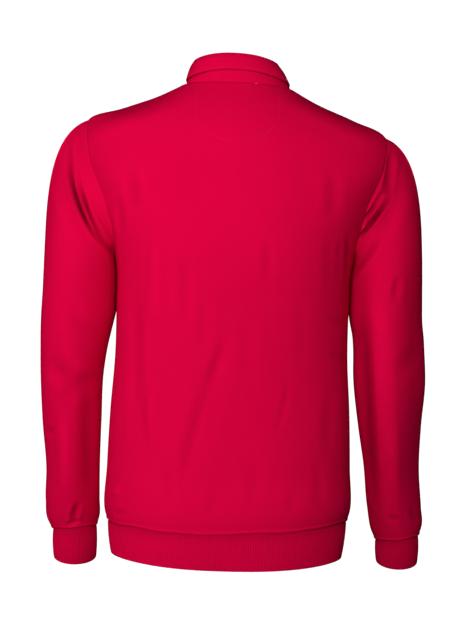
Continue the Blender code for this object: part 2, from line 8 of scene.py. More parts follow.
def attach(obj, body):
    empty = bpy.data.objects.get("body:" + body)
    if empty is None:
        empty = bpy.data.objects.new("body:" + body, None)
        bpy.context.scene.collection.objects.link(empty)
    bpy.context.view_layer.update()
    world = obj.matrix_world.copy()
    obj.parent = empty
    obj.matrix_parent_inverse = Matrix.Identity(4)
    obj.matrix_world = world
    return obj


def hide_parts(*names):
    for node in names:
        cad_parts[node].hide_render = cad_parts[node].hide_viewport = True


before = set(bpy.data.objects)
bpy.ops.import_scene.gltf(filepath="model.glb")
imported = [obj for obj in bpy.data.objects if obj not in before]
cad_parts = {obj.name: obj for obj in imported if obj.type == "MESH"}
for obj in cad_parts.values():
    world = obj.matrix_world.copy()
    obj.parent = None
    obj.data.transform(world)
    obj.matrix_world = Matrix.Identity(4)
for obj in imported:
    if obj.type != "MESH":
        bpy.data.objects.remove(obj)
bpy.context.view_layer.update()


# ---------------------------------------------------------------------------------------------
# The back: one panel of cotton jersey between the shoulder seams, the armholes, the side seams
# and the hem band. Its edges turn inwards at every seam, which lies in a soft valley, and the
# worn cloth hangs in long shallow folds.
# ---------------------------------------------------------------------------------------------
METRES = 0.001
JERSEY_WALL = 1.6

# Rings of the trunk in millimetres: station down the back, half width, depth behind and in front,
# how far below the neck base the sides, the back and the front lie, and the ring's roundness.
TRUNK = (
    (0, 80, 60, 82, 0, -1, 80, 0.92),
    (45, 122, 84, 99, 21, 34, 100, 0.98),
    (95, 176, 103, 117, 42, 70, 123, 1.06),
    (150, 227, 115, 131, 64, 110, 148, 1.13),
    (200, 234, 123, 139, 112, 155, 179, 1.00),
    (258, 206, 128, 142, 182, 205, 214, 0.90),
    (318, 181, 130, 141, 257, 262, 262, 0.87),
    (344, 177, 129, 140, 284, 288, 288, 0.87),
    (390, 176, 125, 138, 330, 332, 332, 0.87),
    (470, 176, 116, 133, 410, 412, 412, 0.87),
    (550, 181, 114, 131, 490, 493, 492, 0.87),
    (635, 184, 119, 132, 576, 580, 578, 0.87),
    (706, 185, 126, 133, 645, 652, 648, 0.86),
    (722, 181, 124, 131, 657, 667, 661, 0.85),
)
NECK_STATION = 0
TIP_STATION = 150
ARMPIT_STATION = 318
HEM_STATION = 722
ARMHOLE_MIDDLE = (TIP_STATION + ARMPIT_STATION) / 2
ARMHOLE_HALF = (ARMPIT_STATION - TIP_STATION) / 2
ARMHOLE_REACH = math.radians(20.5)

# One shoulder is a little higher than the other, and the collar sways to the left.
LEAN_DROPS = (40, 62, 150, 660, 715)
LEANS = (0.024, 0.036, 0.017, -0.022, 0.0)
COLLAR_SWAY = 0.12

# Folds: across and down from the neck base at both ends, then width, depth and sideways bow.
BACK_FOLDS = (
    (4, 375, 35, 465, 8, 2.0, 3),
    (28, 436, 71, 619, 8, 1.5, 6),
    (9, 378, 73, 616, 16, 1.0, 4),
    (-85, 430, -63, 526, 4, 1.3, -5),
    (141, 268, 131, 567, 9, 2.2, 2),
    (115, 217, 114, 382, 8, -1.6, 0),
    (118, 436, 115, 567, 6, 1.6, 10),
    (75, 246, 69, 385, 8, 1.8, 0),
    (-142, 120, -143, 212, 10, 1.8, 0),
    (-138, 205, -146, 326, 9, 1.2, 0),
    (-134, 350, -176, 359, 6, 1.8, 0),
    (-144, 400, -177, 414, 6, 1.8, 0),
    (-148, 433, -145, 564, 9, 1.3, 0),
    (-51, 228, -49, 305, 7, 1.0, 0),
    (158, 125, 142, 208, 9, 2.2, 0),
    (189, 196, 180, 256, 5, 2.2, 0),
    (173, 168, 166, 239, 6, 1.8, 0),
    (-170, 210, -168, 296, 5, 2.2, 0),
    (-157, 223, -156, 297, 5, 1.5, 0),
    (-131, 550, -136, 637, 7, 0.9, 0),
    (158, 607, 172, 619, 6, -1.6, 0),
    (148, 639, 171, 648, 5, 1.4, 0),
    (45, 303, 40, 418, 9, 1.0, 0),
    (-19, 330, -26, 464, 10, 0.8, 0),
    (-99, 299, -106, 424, 9, 0.7, 0),
    (91, 554, 85, 641, 8, 1.4, 0),
    (13, 589, 25, 642, 9, 1.0, 0),
    (-99, 592, -93, 640, 9, 0.8, 0),
    (-40, 550, -36, 636, 9, 0.8, 0),
)
# Along both shoulder seams the cloth is drawn into a shallow hollow, alike on back and front.
SHOULDER_HOLLOWS = (
    (52, 1, 274, 87, 14, 1.1, 0),
    (-36, -7, -265, 90, 14, 1.3, 0),
)
# Along these hollows the colour gets extra painted shade, beyond what their depth gives.
HOLLOW_SHADE = 2.2
FOLD_FADE = 30
FOLD_END = 0.38
RIDGE_SHARE = 0.35
RIDGE_REACH = 1.7
RIDGE_SPREAD = 0.8

# A seam's valley and the swell of the cloth beside it.
SEAM_DEPTH = 1.0
SEAM_WIDTH = 2.3
SWELL_HEIGHT = 0.35
SWELL_AT = 7.0
TIP_CALM = 0.85
TIP_SPREAD = 26
SWELL_WIDTH = 4.5
# A seam runs out flat over this length before it meets the ribbing.
SEAM_END = 7.0

# Above the ribbing the cloth stands in a narrow ridge over its seam allowance.
RIDGE_HEIGHT = 0.95
RIDGE_AT = 4.0
RIDGE_WIDTH = 2.2
RIB_SEAM_DEPTH = 0.8
# Waves of the hem seam: how many on its way round, how high, and where they start.
SEAM_WAVES = ((3, 1.2, 0.4), (7, 0.9, 1.9), (13, 0.6, 4.0))
WAVE_FADE = 30.0

# How the panel is divided: columns crowd towards the seams, and so do the rows.
SLOT_HALF = 15
SIDE_COLUMNS = 95
SLOT_COLUMNS = 8
YOKE_ROWS = 34
ARMHOLE_ROWS = 96
SKIRT_ROWS = 80
CROWDING = 0.8
SLOT_ROWS = 56

# Wales and courses of the knit, its nap and its dye.
WALE = 0.00105
COURSE = 0.00085
CRIMSON = (0.640, 0.0008, 0.047, 1.0)
CRIMSON_DEEP = (0.560, 0.0006, 0.038, 1.0)
SHEEN_RED = (1.0, 0.0, 0.08, 1.0)
# Painted shade: the cloth's colour darkens in its deep creases. Ridges are painted a little paler,
# partly as wear and partly as painted highlight. Seam relief adds to both.
PAINTED_CREASE_SHADE = (0.150, 0.0002, 0.010, 1.0)
CREASE_FULL = 7.5
CREASE_CURVE = 1.7
RUB_AND_HIGHLIGHT = (0.800, 0.0012, 0.062, 1.0)
RUB_AND_HIGHLIGHT_FULL = 3.0
RUB_AND_HIGHLIGHT_SHARE = 0.5
RELIEF_SHADE = 1.5
# The dye varies over hand-sized patches, and the nap from fibre to fibre.
DYE_SCALE = 9.0
DYE_DETAIL = 3.0
DYE_SHARE = 0.9
NAP_SCALE = 620.0
NAP_DETAIL = 2.0
NAP_SHARE = 0.5
NAP_WEAR = 0.12
MIDDLE_SHADE = 0.35
BUMP_STRENGTH = 0.5
SHEEN_ROUGHNESS = 0.6
WALE_SHARE = 0.5
LOOP_SHARE = 0.35
# Painted shade between the wales.
WALE_SHADE = -0.06
LOOP_DEPTH = 0.00016
JERSEY_ROUGHNESS = 0.86
JERSEY_SHEEN = 0.035
SHARP_ANGLE = math.radians(50)


def unit(vectors):
    return vectors / np.linalg.norm(vectors, axis=-1, keepdims=True)


def smooth(value):
    value = np.clip(value, 0.0, 1.0)
    return value * value * (3 - 2 * value)


def eased(t, first, leaving, last, arriving):
    """A smooth curve from first to last that leaves and arrives in given directions."""
    start = (1 + 2 * t) * (1 - t) ** 2 * first + t * (1 - t) ** 2 * leaving
    end = t * t * (3 - 2 * t) * last + t * t * (t - 1) * arriving
    return start + end


def through(knots, rows, keys):
    """Values on a smooth curve through rows of numbers, one row at each knot."""
    knots = np.asarray(knots, float)
    rows = np.asarray(rows, float)
    keys = np.asarray(keys, float)
    slopes = np.gradient(rows, knots, axis=0)
    row = np.clip(np.searchsorted(knots, keys) - 1, 0, len(knots) - 2)
    shape = keys.shape + (1,) * (rows.ndim - 1)
    step = (knots[row + 1] - knots[row]).reshape(shape)
    t = (keys - knots[row]).reshape(shape) / step
    return eased(t, rows[row], step * slopes[row], rows[row + 1], step * slopes[row + 1])


def read_rings(table, keys):
    """The columns of a ring table after its key, each as an array like keys."""
    rings = np.array(table, float)
    return np.moveaxis(through(rings[:, 0], rings[:, 1:], keys), -1, 0)


def ring_points(ring, turn):
    """Points of level rings; turn 0 is the wearer's left and a quarter turn is the back."""
    half_width, back, front, drop_side, drop_back, drop_front, roundness = ring
    sideways = np.cos(turn)
    backwards = np.sin(turn)
    depth = np.where(backwards > 0, back, front)
    end_drop = np.where(backwards > 0, drop_back, drop_front)
    drop = drop_side + (end_drop - drop_side) * backwards ** 2
    x = half_width * np.sign(sideways) * np.abs(sideways) ** roundness
    y = depth * np.sign(backwards) * np.abs(backwards) ** roundness
    return np.stack((x, y, -drop), axis=-1)


def lean(points):
    share = np.interp(-points[..., 2], LEAN_DROPS, LEANS)
    leaned = points.copy()
    leaned[..., 0] += COLLAR_SWAY * np.maximum(points[..., 2], 0)
    leaned[..., 2] += points[..., 0] * share
    return leaned


def trunk_form(turn, station):
    return lean(ring_points(read_rings(TRUNK, station), turn))


def trunk_normal(turn, station):
    turn_step = 0.02
    station_step = 1.0
    low = np.maximum(station - station_step, NECK_STATION)
    high = np.minimum(station + station_step, HEM_STATION)
    around = trunk_form(turn + turn_step, station) - trunk_form(turn - turn_step, station)
    down = trunk_form(turn, high) - trunk_form(turn, low)
    return unit(np.cross(down, around))


def fold_depth(folds, x, drop):
    """How deep folds are at each place: soft troughs with a low ridge along each side."""
    total = np.zeros_like(x)
    for x_top, drop_top, x_end, drop_end, width, depth, bow in folds:
        run_x = x_end - x_top
        run_drop = drop_end - drop_top
        length = math.hypot(run_x, run_drop)
        along = ((x - x_top) * run_x + (drop - drop_top) * run_drop) / length ** 2
        aside = ((x - x_top) * run_drop - (drop - drop_top) * run_x) / length
        aside = np.abs(aside - 4 * bow * along * (1 - along)) / width
        ends = smooth(np.minimum(along, 1 - along) / FOLD_END)
        trough = np.exp(-(aside ** 2))
        ridge = np.exp(-(((aside - RIDGE_REACH) / RIDGE_SPREAD) ** 2))
        total += depth * ends * (trough - RIDGE_SHARE * ridge)
    return total


def shoulder_hollow(point):
    return fold_depth(SHOULDER_HOLLOWS, point[..., 0], -point[..., 2])


def trunk_folds(point, folds):
    """How deep the trunk's folds are at points of its form. They fade towards its sides."""
    depth = fold_depth(folds, point[..., 0], -point[..., 2])
    return depth * smooth(np.abs(point[..., 1]) / FOLD_FADE) + shoulder_hollow(point)


def trunk(turn, station, folds):
    """Points of the trunk's outer face with its folds, before the seams are pressed in."""
    point = trunk_form(turn, station)
    return point - trunk_normal(turn, station) * trunk_folds(point, folds)[..., None]


def tip_calm(offset):
    """How much of a seam's relief is left near a shoulder tip, where the cloth is drawn smooth."""
    return 1 - TIP_CALM * np.exp(-((offset / TIP_SPREAD) ** 2))


def seam_relief(distance):
    """How far cloth lies under its form beside a seam."""
    valley = np.exp(-((distance / SEAM_WIDTH) ** 2))
    swell = np.exp(-(((distance - SWELL_AT) / SWELL_WIDTH) ** 2))
    return SEAM_DEPTH * valley - SWELL_HEIGHT * swell


def rib_relief(distance):
    """The same above ribbing, where the seam allowance holds the cloth up in a narrow ridge."""
    ridge = np.exp(-(((distance - RIDGE_AT) / RIDGE_WIDTH) ** 2))
    valley = np.exp(-((distance / SEAM_WIDTH) ** 2))
    return RIB_SEAM_DEPTH * valley - RIDGE_HEIGHT * ridge


def seam_wave(turn):
    """How far the hem seam wanders up and down on its way round."""
    return sum(height * np.sin(count * turn + start) for count, height, start in SEAM_WAVES)


def crowded(count):
    """Shares from 0 to 1 that lie closer together at both ends."""
    t = np.linspace(0, 1, count)
    return t - CROWDING * np.sin(2 * np.pi * t) / (2 * np.pi)


def crowded_end(count):
    """Shares from 0 to 1 that lie closer together towards 1 alone."""
    tail = crowded(2 * count)[count:]
    return (tail - tail[0]) / (tail[-1] - tail[0])


def run_lengths(points, axis):
    """Distance travelled along rows or columns of a grid, from its first point."""
    steps = np.linalg.norm(np.diff(points, axis=axis), axis=-1)
    start = np.zeros_like(np.take(steps, [0], axis=axis))
    return np.concatenate((start, np.cumsum(steps, axis=axis)), axis=axis)


def armhole_place(angle):
    """Turn and station of the armhole seam; angle 0 is the shoulder tip, a half turn the armpit."""
    return ARMHOLE_REACH * np.sin(angle), ARMHOLE_MIDDLE - ARMHOLE_HALF * np.cos(angle)


def placed(name, data):
    """A new object in the scene, at the origin."""
    made = bpy.data.objects.new(name, data)
    bpy.context.scene.collection.objects.link(made)
    return made


def note(mesh, name, values):
    """Writes a number for each point of a mesh as an attribute."""
    values = np.asarray(values).astype(np.float32)
    mesh.attributes.new(name, "FLOAT", "POINT").data.foreach_set("value", values)


def tube_faces(index):
    """Faces between rows of point numbers, where each row's end meets its start."""
    after = np.roll(index, -1, axis=1)
    return np.stack((index[:-1], after[:-1], after[1:], index[1:]), axis=-1).reshape(-1, 4)


def inside_out(points, faces):
    """Whether the faces of a closed mesh look inwards."""
    first, second, third, fourth = (points[faces[:, corner]] for corner in range(4))
    return np.sum(first * np.cross(second - fourth, third - first)) > 0


def sew_piece(name, outer, inner, across, down, material, closed=False, slot=None, fold_shade=None):
    """A closed wall of cloth between two grids of points in millimetres.

    across and down place each point in the flat cut and become the UV map "cut", in metres.
    closed joins the last column to the first. slot is rows and columns that are left out. The last
    argument is the painted shade at each point, from how deep it lies in folds and seams, or painted
    highlight and wear on ridges where negative; it becomes an attribute of the same name.
    """
    rows, columns = outer.shape[:2]
    spans = columns if closed else columns - 1
    cloth = np.ones((rows - 1, spans), bool)
    if slot:
        cloth[slot] = False
    above = np.zeros_like(cloth)
    above[1:] = cloth[:-1]
    below = np.zeros_like(cloth)
    below[:-1] = cloth[1:]
    before = np.roll(cloth, 1, axis=1)
    beyond = np.roll(cloth, -1, axis=1)
    if not closed:
        before[:, 0] = False
        beyond[:, -1] = False
    behind = rows * columns
    flat_columns = across.shape[1]
    faces = []
    flats = []

    def corners(cells):
        row, column = np.nonzero(cells)
        after = (column + 1) % columns
        points = (row * columns + column, row * columns + after,
                  (row + 1) * columns + after, (row + 1) * columns + column)
        flat = row * flat_columns + column
        return points, (flat, flat + 1, flat + flat_columns + 1, flat + flat_columns)

    (a, b, c, d), (e, f, g, h) = corners(cloth)
    faces.append(np.stack((a, b, c, d), axis=1))
    flats.append(np.stack((e, f, g, h), axis=1))
    faces.append(np.stack((d, c, b, a), axis=1) + behind)
    flats.append(np.stack((h, g, f, e), axis=1))
    for beside, near, far in ((above, 0, 1), (beyond, 1, 2), (below, 2, 3), (before, 3, 0)):
        points, flat = corners(cloth & ~beside)
        faces.append(np.stack((points[far], points[near], points[near] + behind, points[far] + behind),
                              axis=1))
        flats.append(np.stack((flat[far], flat[near], flat[near], flat[far]), axis=1))
    faces = np.concatenate(faces)
    flats = np.concatenate(flats)
    points = np.concatenate((outer.reshape(-1, 3), inner.reshape(-1, 3))) * METRES
    if inside_out(points, faces):
        faces = faces[:, ::-1]
        flats = flats[:, ::-1]
    used, faces = np.unique(faces, return_inverse=True)
    faces = faces.reshape(-1, 4)
    mesh = bpy.data.meshes.new(name)
    mesh.from_pydata(points[used].tolist(), [], faces.tolist())
    cut = np.stack((across.ravel(), down.ravel()), axis=1) * METRES
    layer = mesh.uv_layers.new(name="cut")
    layer.data.foreach_set("uv", cut[flats.ravel()].ravel())
    if fold_shade is not None:
        note(mesh, "fold_shade", np.tile(fold_shade.ravel(), 2)[used])
    mesh.shade_smooth()
    mesh.set_sharp_from_angle(angle=SHARP_ANGLE)
    mesh.materials.append(material)
    return placed(name, mesh)


# The Mix node's sockets for its two colours, and the one that gives the mixed colour.
MIX_LOW = 6
MIX_HIGH = 7
MIX_COLOUR = 2


class Strand:
    """A value in a node tree. Arithmetic on strands adds the Math nodes that it needs."""

    def __init__(self, tree, socket=None):
        self.tree = tree
        self.socket = socket

    def node(self, kind, settings, sockets, output=0):
        """Any node: its type, its settings, then the values or links of its sockets."""
        made = self.tree.nodes.new(kind)
        for name, value in settings.items():
            setattr(made, name, value)
        for name, value in sockets.items():
            if isinstance(value, Strand):
                self.tree.links.new(value.socket, made.inputs[name])
            else:
                made.inputs[name].default_value = value
        return Strand(self.tree, made.outputs[output] if len(made.outputs) else None)

    def output(self, name):
        return Strand(self.tree, self.socket.node.outputs[name])

    def into(self, shader, name):
        """Feeds this value to a shader's socket."""
        self.tree.links.new(self.socket, shader.inputs[name])

    def maths(self, operation, *values):
        return self.node("ShaderNodeMath", {"operation": operation}, dict(enumerate(values)))

    def __add__(self, other):
        return self.maths("ADD", self, other)

    def __sub__(self, other):
        return self.maths("SUBTRACT", self, other)

    def __rsub__(self, other):
        return self.maths("SUBTRACT", other, self)

    def __mul__(self, other):
        return self.maths("MULTIPLY", self, other)

    def __truediv__(self, other):
        return self.maths("DIVIDE", self, other)

    def __pow__(self, other):
        return self.maths("POWER", self, other)

    def __abs__(self):
        return self.maths("ABSOLUTE", self)

    __radd__ = __add__
    __rmul__ = __mul__

    def clamped(self):
        return self.node("ShaderNodeClamp", {}, {"Value": self})

    def wave(self):
        """A cosine that makes one turn for each whole number."""
        return self.maths("COSINE", self * (2 * math.pi))

    def mixed(self, low, high):
        """A colour between two, by this share."""
        sockets = {0: self, MIX_LOW: low, MIX_HIGH: high}
        return self.node("ShaderNodeMix", {"data_type": "RGBA"}, sockets, output=MIX_COLOUR)

    def noise(self, scale, detail):
        """A share that wanders between 0 and 1 over a piece."""
        place = self.node("ShaderNodeTexCoord", {}, {}).output("Object")
        return self.node("ShaderNodeTexNoise", {}, {"Vector": place, "Scale": scale, "Detail": detail})

    def cut(self):
        """Places in the flat cut: this strand's output is the way across, its "Y" the way down."""
        cut = self.node("ShaderNodeUVMap", {"uv_map": "cut"}, {})
        return self.node("ShaderNodeSeparateXYZ", {}, {"Vector": cut})

    def fraction(self, name):
        """A number that the mesh holds for each point, read in a material."""
        return self.node("ShaderNodeAttribute", {"attribute_name": name}, {}).output("Fac")

    def noted(self, name, kind="FLOAT"):
        """What the mesh holds for each point, read in a geometry tree."""
        return self.node("GeometryNodeInputNamedAttribute", {"data_type": kind}, {"Name": name})


def fresh_material(name):
    """A new material, its shader, and a strand from which its other nodes start."""
    material = bpy.data.materials.new(name)
    material.use_nodes = True
    return material, material.node_tree.nodes["Principled BSDF"], Strand(material.node_tree)


def cloth_material(name, light, dark, relief, roughness, sheen):
    """A matt knitted finish. relief(start) returns the knit's height, the shade painted into its grooves
    and the bump's distance.
    """
    material, shader, start = fresh_material(name)
    height, painted_groove_shade, distance = relief(start)
    dye = start.noise(DYE_SCALE, DYE_DETAIL)
    nap = start.noise(NAP_SCALE, NAP_DETAIL)
    shade = (dye - 0.5) * DYE_SHARE + (nap - 0.5) * NAP_SHARE + painted_groove_shade + MIDDLE_SHADE
    # Painted shade in folds and seam valleys. Where the value is negative, on ridges, the colour turns
    # paler, part wear and part painted highlight.
    fold_shade = start.fraction("fold_shade")
    crease_shade_share = (fold_shade / CREASE_FULL).clamped() ** CREASE_CURVE
    raised = (fold_shade / -RUB_AND_HIGHLIGHT_FULL).clamped() * RUB_AND_HIGHLIGHT_SHARE
    colour = crease_shade_share.mixed(raised.mixed(shade.clamped().mixed(light, dark), RUB_AND_HIGHLIGHT), PAINTED_CREASE_SHADE)
    worn = roughness + (nap - 0.5) * NAP_WEAR
    raised_nap = height + nap * NAP_SHARE
    bump = start.node(
        "ShaderNodeBump", {}, {"Strength": BUMP_STRENGTH, "Distance": distance, "Height": raised_nap}
    )
    colour.into(shader, "Base Color")
    worn.into(shader, "Roughness")
    bump.into(shader, "Normal")
    shader.inputs["Specular IOR Level"].default_value = 0.0
    shader.inputs["Sheen Weight"].default_value = sheen
    shader.inputs["Sheen Roughness"].default_value = SHEEN_ROUGHNESS
    shader.inputs["Sheen Tint"].default_value = SHEEN_RED
    return material


def jersey_relief(start):
    """Columns of knit loops: each wale is a ridge crossed by slanting courses, with painted shade
    between the wales.
    """
    flat = start.cut()
    column = flat / WALE
    slant = abs(column.maths("FRACT", column) - 0.5)
    loop = (flat.output("Y") / COURSE + slant).wave()
    ridge = column.wave()
    height = ridge * WALE_SHARE + loop * LOOP_SHARE
    return height, ridge * WALE_SHADE, LOOP_DEPTH


jersey = cloth_material(
    "crimson jersey", CRIMSON, CRIMSON_DEEP, jersey_relief, JERSEY_ROUGHNESS, JERSEY_SHEEN
)


def panel_rows():
    """Stations of a panel's rows and the armhole's reach at each."""
    yoke = TIP_STATION * crowded(2 * YOKE_ROWS)[:YOKE_ROWS] / crowded(2 * YOKE_ROWS)[YOKE_ROWS - 1]
    reach, armhole_stations = armhole_place(np.linspace(0, np.pi, ARMHOLE_ROWS + 1))
    skirt = ARMPIT_STATION + (HEM_STATION - ARMPIT_STATION) * crowded_end(SKIRT_ROWS)
    stations = np.concatenate((yoke[:-1], armhole_stations, skirt[1:]))
    edges = np.concatenate((np.zeros(len(yoke) - 1), reach, np.zeros(len(skirt) - 1)))
    return stations, edges


def turn_at(station, x):
    """The turn at which the trunk's rings lie a given way across from the centre back."""
    ring = read_rings(TRUNK, station)
    half_width = ring[0]
    roundness = ring[-1]
    return np.arccos(np.sign(x) * (np.abs(x) / half_width) ** (1 / roundness))


def panel(name, face, folds, material, slot_rows=0):
    """The back (face 1) or the front (face -1)."""
    stations, edges = panel_rows()
    middle = turn_at(stations, SLOT_HALF)[:, None]
    side = edges[:, None] + (middle - edges[:, None]) * crowded(SIDE_COLUMNS)
    centre = middle + (np.pi - 2 * middle) * np.linspace(0, 1, SLOT_COLUMNS + 1)[1:-1]
    turns = np.concatenate((side, centre, np.pi - side[:, ::-1]), axis=1)
    station = np.repeat(stations[:, None], turns.shape[1], axis=1)
    turn = face * turns
    form = trunk_form(turn, station)
    depth = trunk_folds(form, folds)
    # Painted shade: how deep each point lies, with extra along the shoulder hollows.
    shade = depth + HOLLOW_SHADE * shoulder_hollow(form)
    normals = trunk_normal(turn, station)
    form = form - normals * depth[..., None]
    run = run_lengths(form, axis=1)
    centre_column = turns.shape[1] // 2
    across = run - run[:, [centre_column]]
    down = np.repeat(run_lengths(form[:, [centre_column]], axis=0), turns.shape[1], axis=1)
    to_side = np.minimum(run, run[:, [-1]] - run)
    to_hem = down[-1] - down
    beside = np.minimum(to_side, down)
    if slot_rows:
        beyond = np.maximum(np.abs(across) - SLOT_HALF, 0)
        under = np.maximum(down - down[slot_rows], 0)
        beside = np.minimum(beside, np.hypot(beyond, under))
    seams = seam_relief(beside) * tip_calm(station - TIP_STATION) * smooth(to_hem / SEAM_END)
    relief = seams + rib_relief(to_hem)
    outer = form - normals * relief[..., None]
    outer[..., 2] += seam_wave(turn) * np.exp(-to_hem / WAVE_FADE)
    inner = outer - normals * JERSEY_WALL
    slot = None
    if slot_rows:
        slot = (slice(0, slot_rows), slice(SIDE_COLUMNS - 1, SIDE_COLUMNS - 1 + SLOT_COLUMNS))
    # Painted shade: fold depth, the shoulder hollows and the seams' relief darken the colour, and ridges
    # are painted paler.
    fold_shade = shade + RELIEF_SHADE * relief
    return sew_piece(name, outer, inner, across, down, material, slot=slot, fold_shade=fold_shade)


def wear(piece, nodes):
    """Hangs a finished piece on the garment's one body, in place of its plain solids."""
    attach(piece, "root")
    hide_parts(*nodes)


back_panel = panel("back_panel", 1, BACK_FOLDS, jersey)
wear(back_panel, ["back"])


# ---------------------------------------------------------------------------------------------
# The front: the same jersey and the same outline, cut deeper at the neck, with a slot down the
# centre for the placket. It creases towards both armpits, as worn cloth does.
# ---------------------------------------------------------------------------------------------
FRONT_FOLDS = (
    (150, 250, 92, 345, 9, 2.6, -6),
    (138, 262, 84, 375, 15, 2.0, -4),
    (92, 370, 86, 500, 9, 1.8, 3),
    (-150, 255, -90, 350, 9, 2.6, 6),
    (-138, 268, -82, 385, 15, 2.0, 4),
    (-92, 370, -108, 520, 9, 2.0, -4),
    (-40, 400, -6, 520, 9, 2.2, 4),
    (-22, 490, 30, 630, 10, 2.4, 5),
    (62, 480, 78, 630, 8, 1.8, 0),
    (148, 380, 150, 560, 9, 1.6, 0),
    (-152, 400, -142, 600, 8, 1.7, 0),
    (-70, 560, -62, 650, 8, 1.3, 0),
    (112, 590, 120, 655, 8, 1.4, 0),
    (30, 300, 34, 400, 9, 1.0, 0),
)
SLOT_FOOT_ROW = YOKE_ROWS - 1 + SLOT_ROWS

front_panel = panel("front_panel", -1, FRONT_FOLDS, jersey, slot_rows=SLOT_FOOT_ROW)
wear(front_panel, ["front"])


# ---------------------------------------------------------------------------------------------
# The sleeves: jersey tubes set into the armholes, each closed by one seam under the arm. The cap
# rolls over the shoulder, the cloth creases at the elbow and bunches up above the cuff.
# ---------------------------------------------------------------------------------------------
# Rings of an arm: drop, centre across and back, half width and depth, slope back and outwards.
ARMS = {
    1: (
        (290, 233.9, -10, 55.6, 71, 0.00, 0),
        (320, 234.3, -12, 56.1, 69, -0.03, 0),
        (352, 235.6, -13, 56.2, 66, -0.07, 0),
        (375, 238, -15, 54.2, 63, -0.10, 0),
        (394, 240, -17, 52, 60.5, -0.14, 0),
        (437, 243, -24, 48.5, 57, -0.22, 0),
        (512, 243, -42, 45.5, 51, -0.30, 0),
        (590, 241, -61, 41.5, 46, -0.30, 0),
        (640, 241.5, -74, 42, 43, -0.30, 0),
        (669, 240, -82, 40.5, 41, -0.30, 0),
        (684, 237.5, -80, 34, 35, -0.30, 0),
    ),
    -1: (
        (290, 233.2, -10, 54.9, 71, 0.00, 0),
        (320, 233.6, -12, 55.4, 69, -0.03, 0),
        (352, 234.8, -13, 55.4, 66, -0.07, 0),
        (375, 238.6, -15, 54.6, 63, -0.10, 0),
        (394, 240.3, -17, 54.5, 60.5, -0.14, 0),
        (437, 242.8, -24, 55.3, 57, -0.22, 0),
        (512, 246.6, -42, 48.6, 51, -0.30, 0),
        (575, 252.4, -58, 43, 46, -0.30, 0),
        (640, 260, -75, 42, 43, -0.30, 0.05),
        (672, 265, -83, 39.5, 41, -0.30, 0.12),
        (687, 266, -81, 33.5, 35, -0.30, 0.12),
    ),
}
# How strongly a cap leaves its seam and meets the arm: at the tip, at its sides, in the armpit.
CAP_QUARTERS = (0, 90, 180)
CAP_STARTS = {1: (216, 60, 14), -1: (186, 60, 14)}
CAP_ENDS = (262, 150, 40)
CAP_LIFT = {1: 1.6, -1: 1.5}
PIT_SPREAD = 0.5
SLEEVE_FOLDS = {
    (1, "back"): (
        (263, 70, 245, 169, 6, 2.6, 0),
        (258, 106, 165, 277, 3.8, 5.2, 18),
        (240, 130, 168, 274, 3.2, 5.6, 10.6),
        (227, 638, 237, 691, 5, 4.0, 3),
        (221, 675, 251, 685, 4, 1.6, 0),
        (264, 111, 199, 247, 15, 3.0, 8),
        (280, 411, 227, 465, 13, 2.6, 0),
        (258, 337, 202, 403, 12, 1.4, 0),
        (201, 434, 256, 486, 11, 1.6, 0),
        (250, 476, 247, 650, 11, -3.0, 0),
        (217, 425, 214, 672, 10, 3.4, 0),
        (285, 527, 265, 535, 6, 1.8, 0),
    ),
    (-1, "back"): (
        (229, 144, 151, 266, 3.2, 6.3, 0),
        (240, 156, 151, 272, 3.4, 6.3, 0),
        (226, 213, 161, 305, 6, 3.2, 0),
        (264, 181, 296, 766, 17, 3.1, 0),
        (187, 274, 231, 720, 10, 3.6, 0),
        (213, 244, 257, 719, 15, -4.0, 0),
        (235, 81, 225, 177, 6, 3.4, 0),
        (246, 109, 198, 236, 15, 3.0, 8),
        (247, 278, 239, 326, 6, 2.0, 0),
        (281, 380, 246, 438, 12, 1.2, 0),
        (249, 493, 255, 647, 10, -1.6, 0),
        (247, 648, 264, 662, 6, 1.6, 0),
        (281, 636, 297, 665, 6, 1.8, 0),
    ),
    (1, "front"): (
        (244, 112, 196, 226, 5, 2.6, 5),
        (214, 205, 190, 262, 6, 2.4, 0),
        (206, 350, 270, 382, 9, 2.4, 0),
        (204, 392, 272, 404, 7, 2.8, 0),
        (208, 430, 266, 420, 8, 2.4, 0),
        (214, 560, 262, 600, 10, 1.8, 0),
        (216, 646, 262, 660, 6, 2.0, 0),
        (187, 225, 188, 385, 15, -7.0, 0),
    ),
    (-1, "front"): (
        (240, 116, 194, 230, 5, 2.6, 5),
        (212, 210, 188, 264, 6, 2.4, 0),
        (204, 352, 268, 378, 9, 2.4, 0),
        (202, 390, 270, 402, 7, 2.8, 0),
        (206, 428, 268, 424, 8, 2.4, 0),
        (234, 545, 280, 590, 10, 1.8, 0),
        (240, 648, 286, 662, 6, 2.0, 0),
        (187, 225, 188, 375, 15, -7.0, 0),
    ),
}
CREASE_START = 4.5
ANGLE_STEP = 0.01
# How far each cuff seam lies above its ring: all round, more on its outer side, more behind.
CUFF_WAVES = {1: (0.4, -3.7, 10.9), -1: (0.0, 0.0, 8.0)}
CAP_ROWS = 80
CAP_CROWDING = 1.35
ARM_ROWS = 115
ROLL_OUT = 14.0


def arm_points(ring, angle, side):
    """Points of a sleeve ring; angle 0 is the outer side and a quarter turn is the back."""
    drop, centre_x, centre_y, half_width, half_depth, tilt_back, tilt_out = ring
    out = half_width * np.cos(angle)
    back = half_depth * np.sin(angle)
    z = -drop + tilt_back * back + tilt_out * out
    return np.stack((side * (centre_x + out), centre_y + back, z), axis=-1)


def arm_rings(side, drops):
    drops = np.asarray(drops, float)
    return np.concatenate((drops[None], read_rings(ARMS[side], drops)))


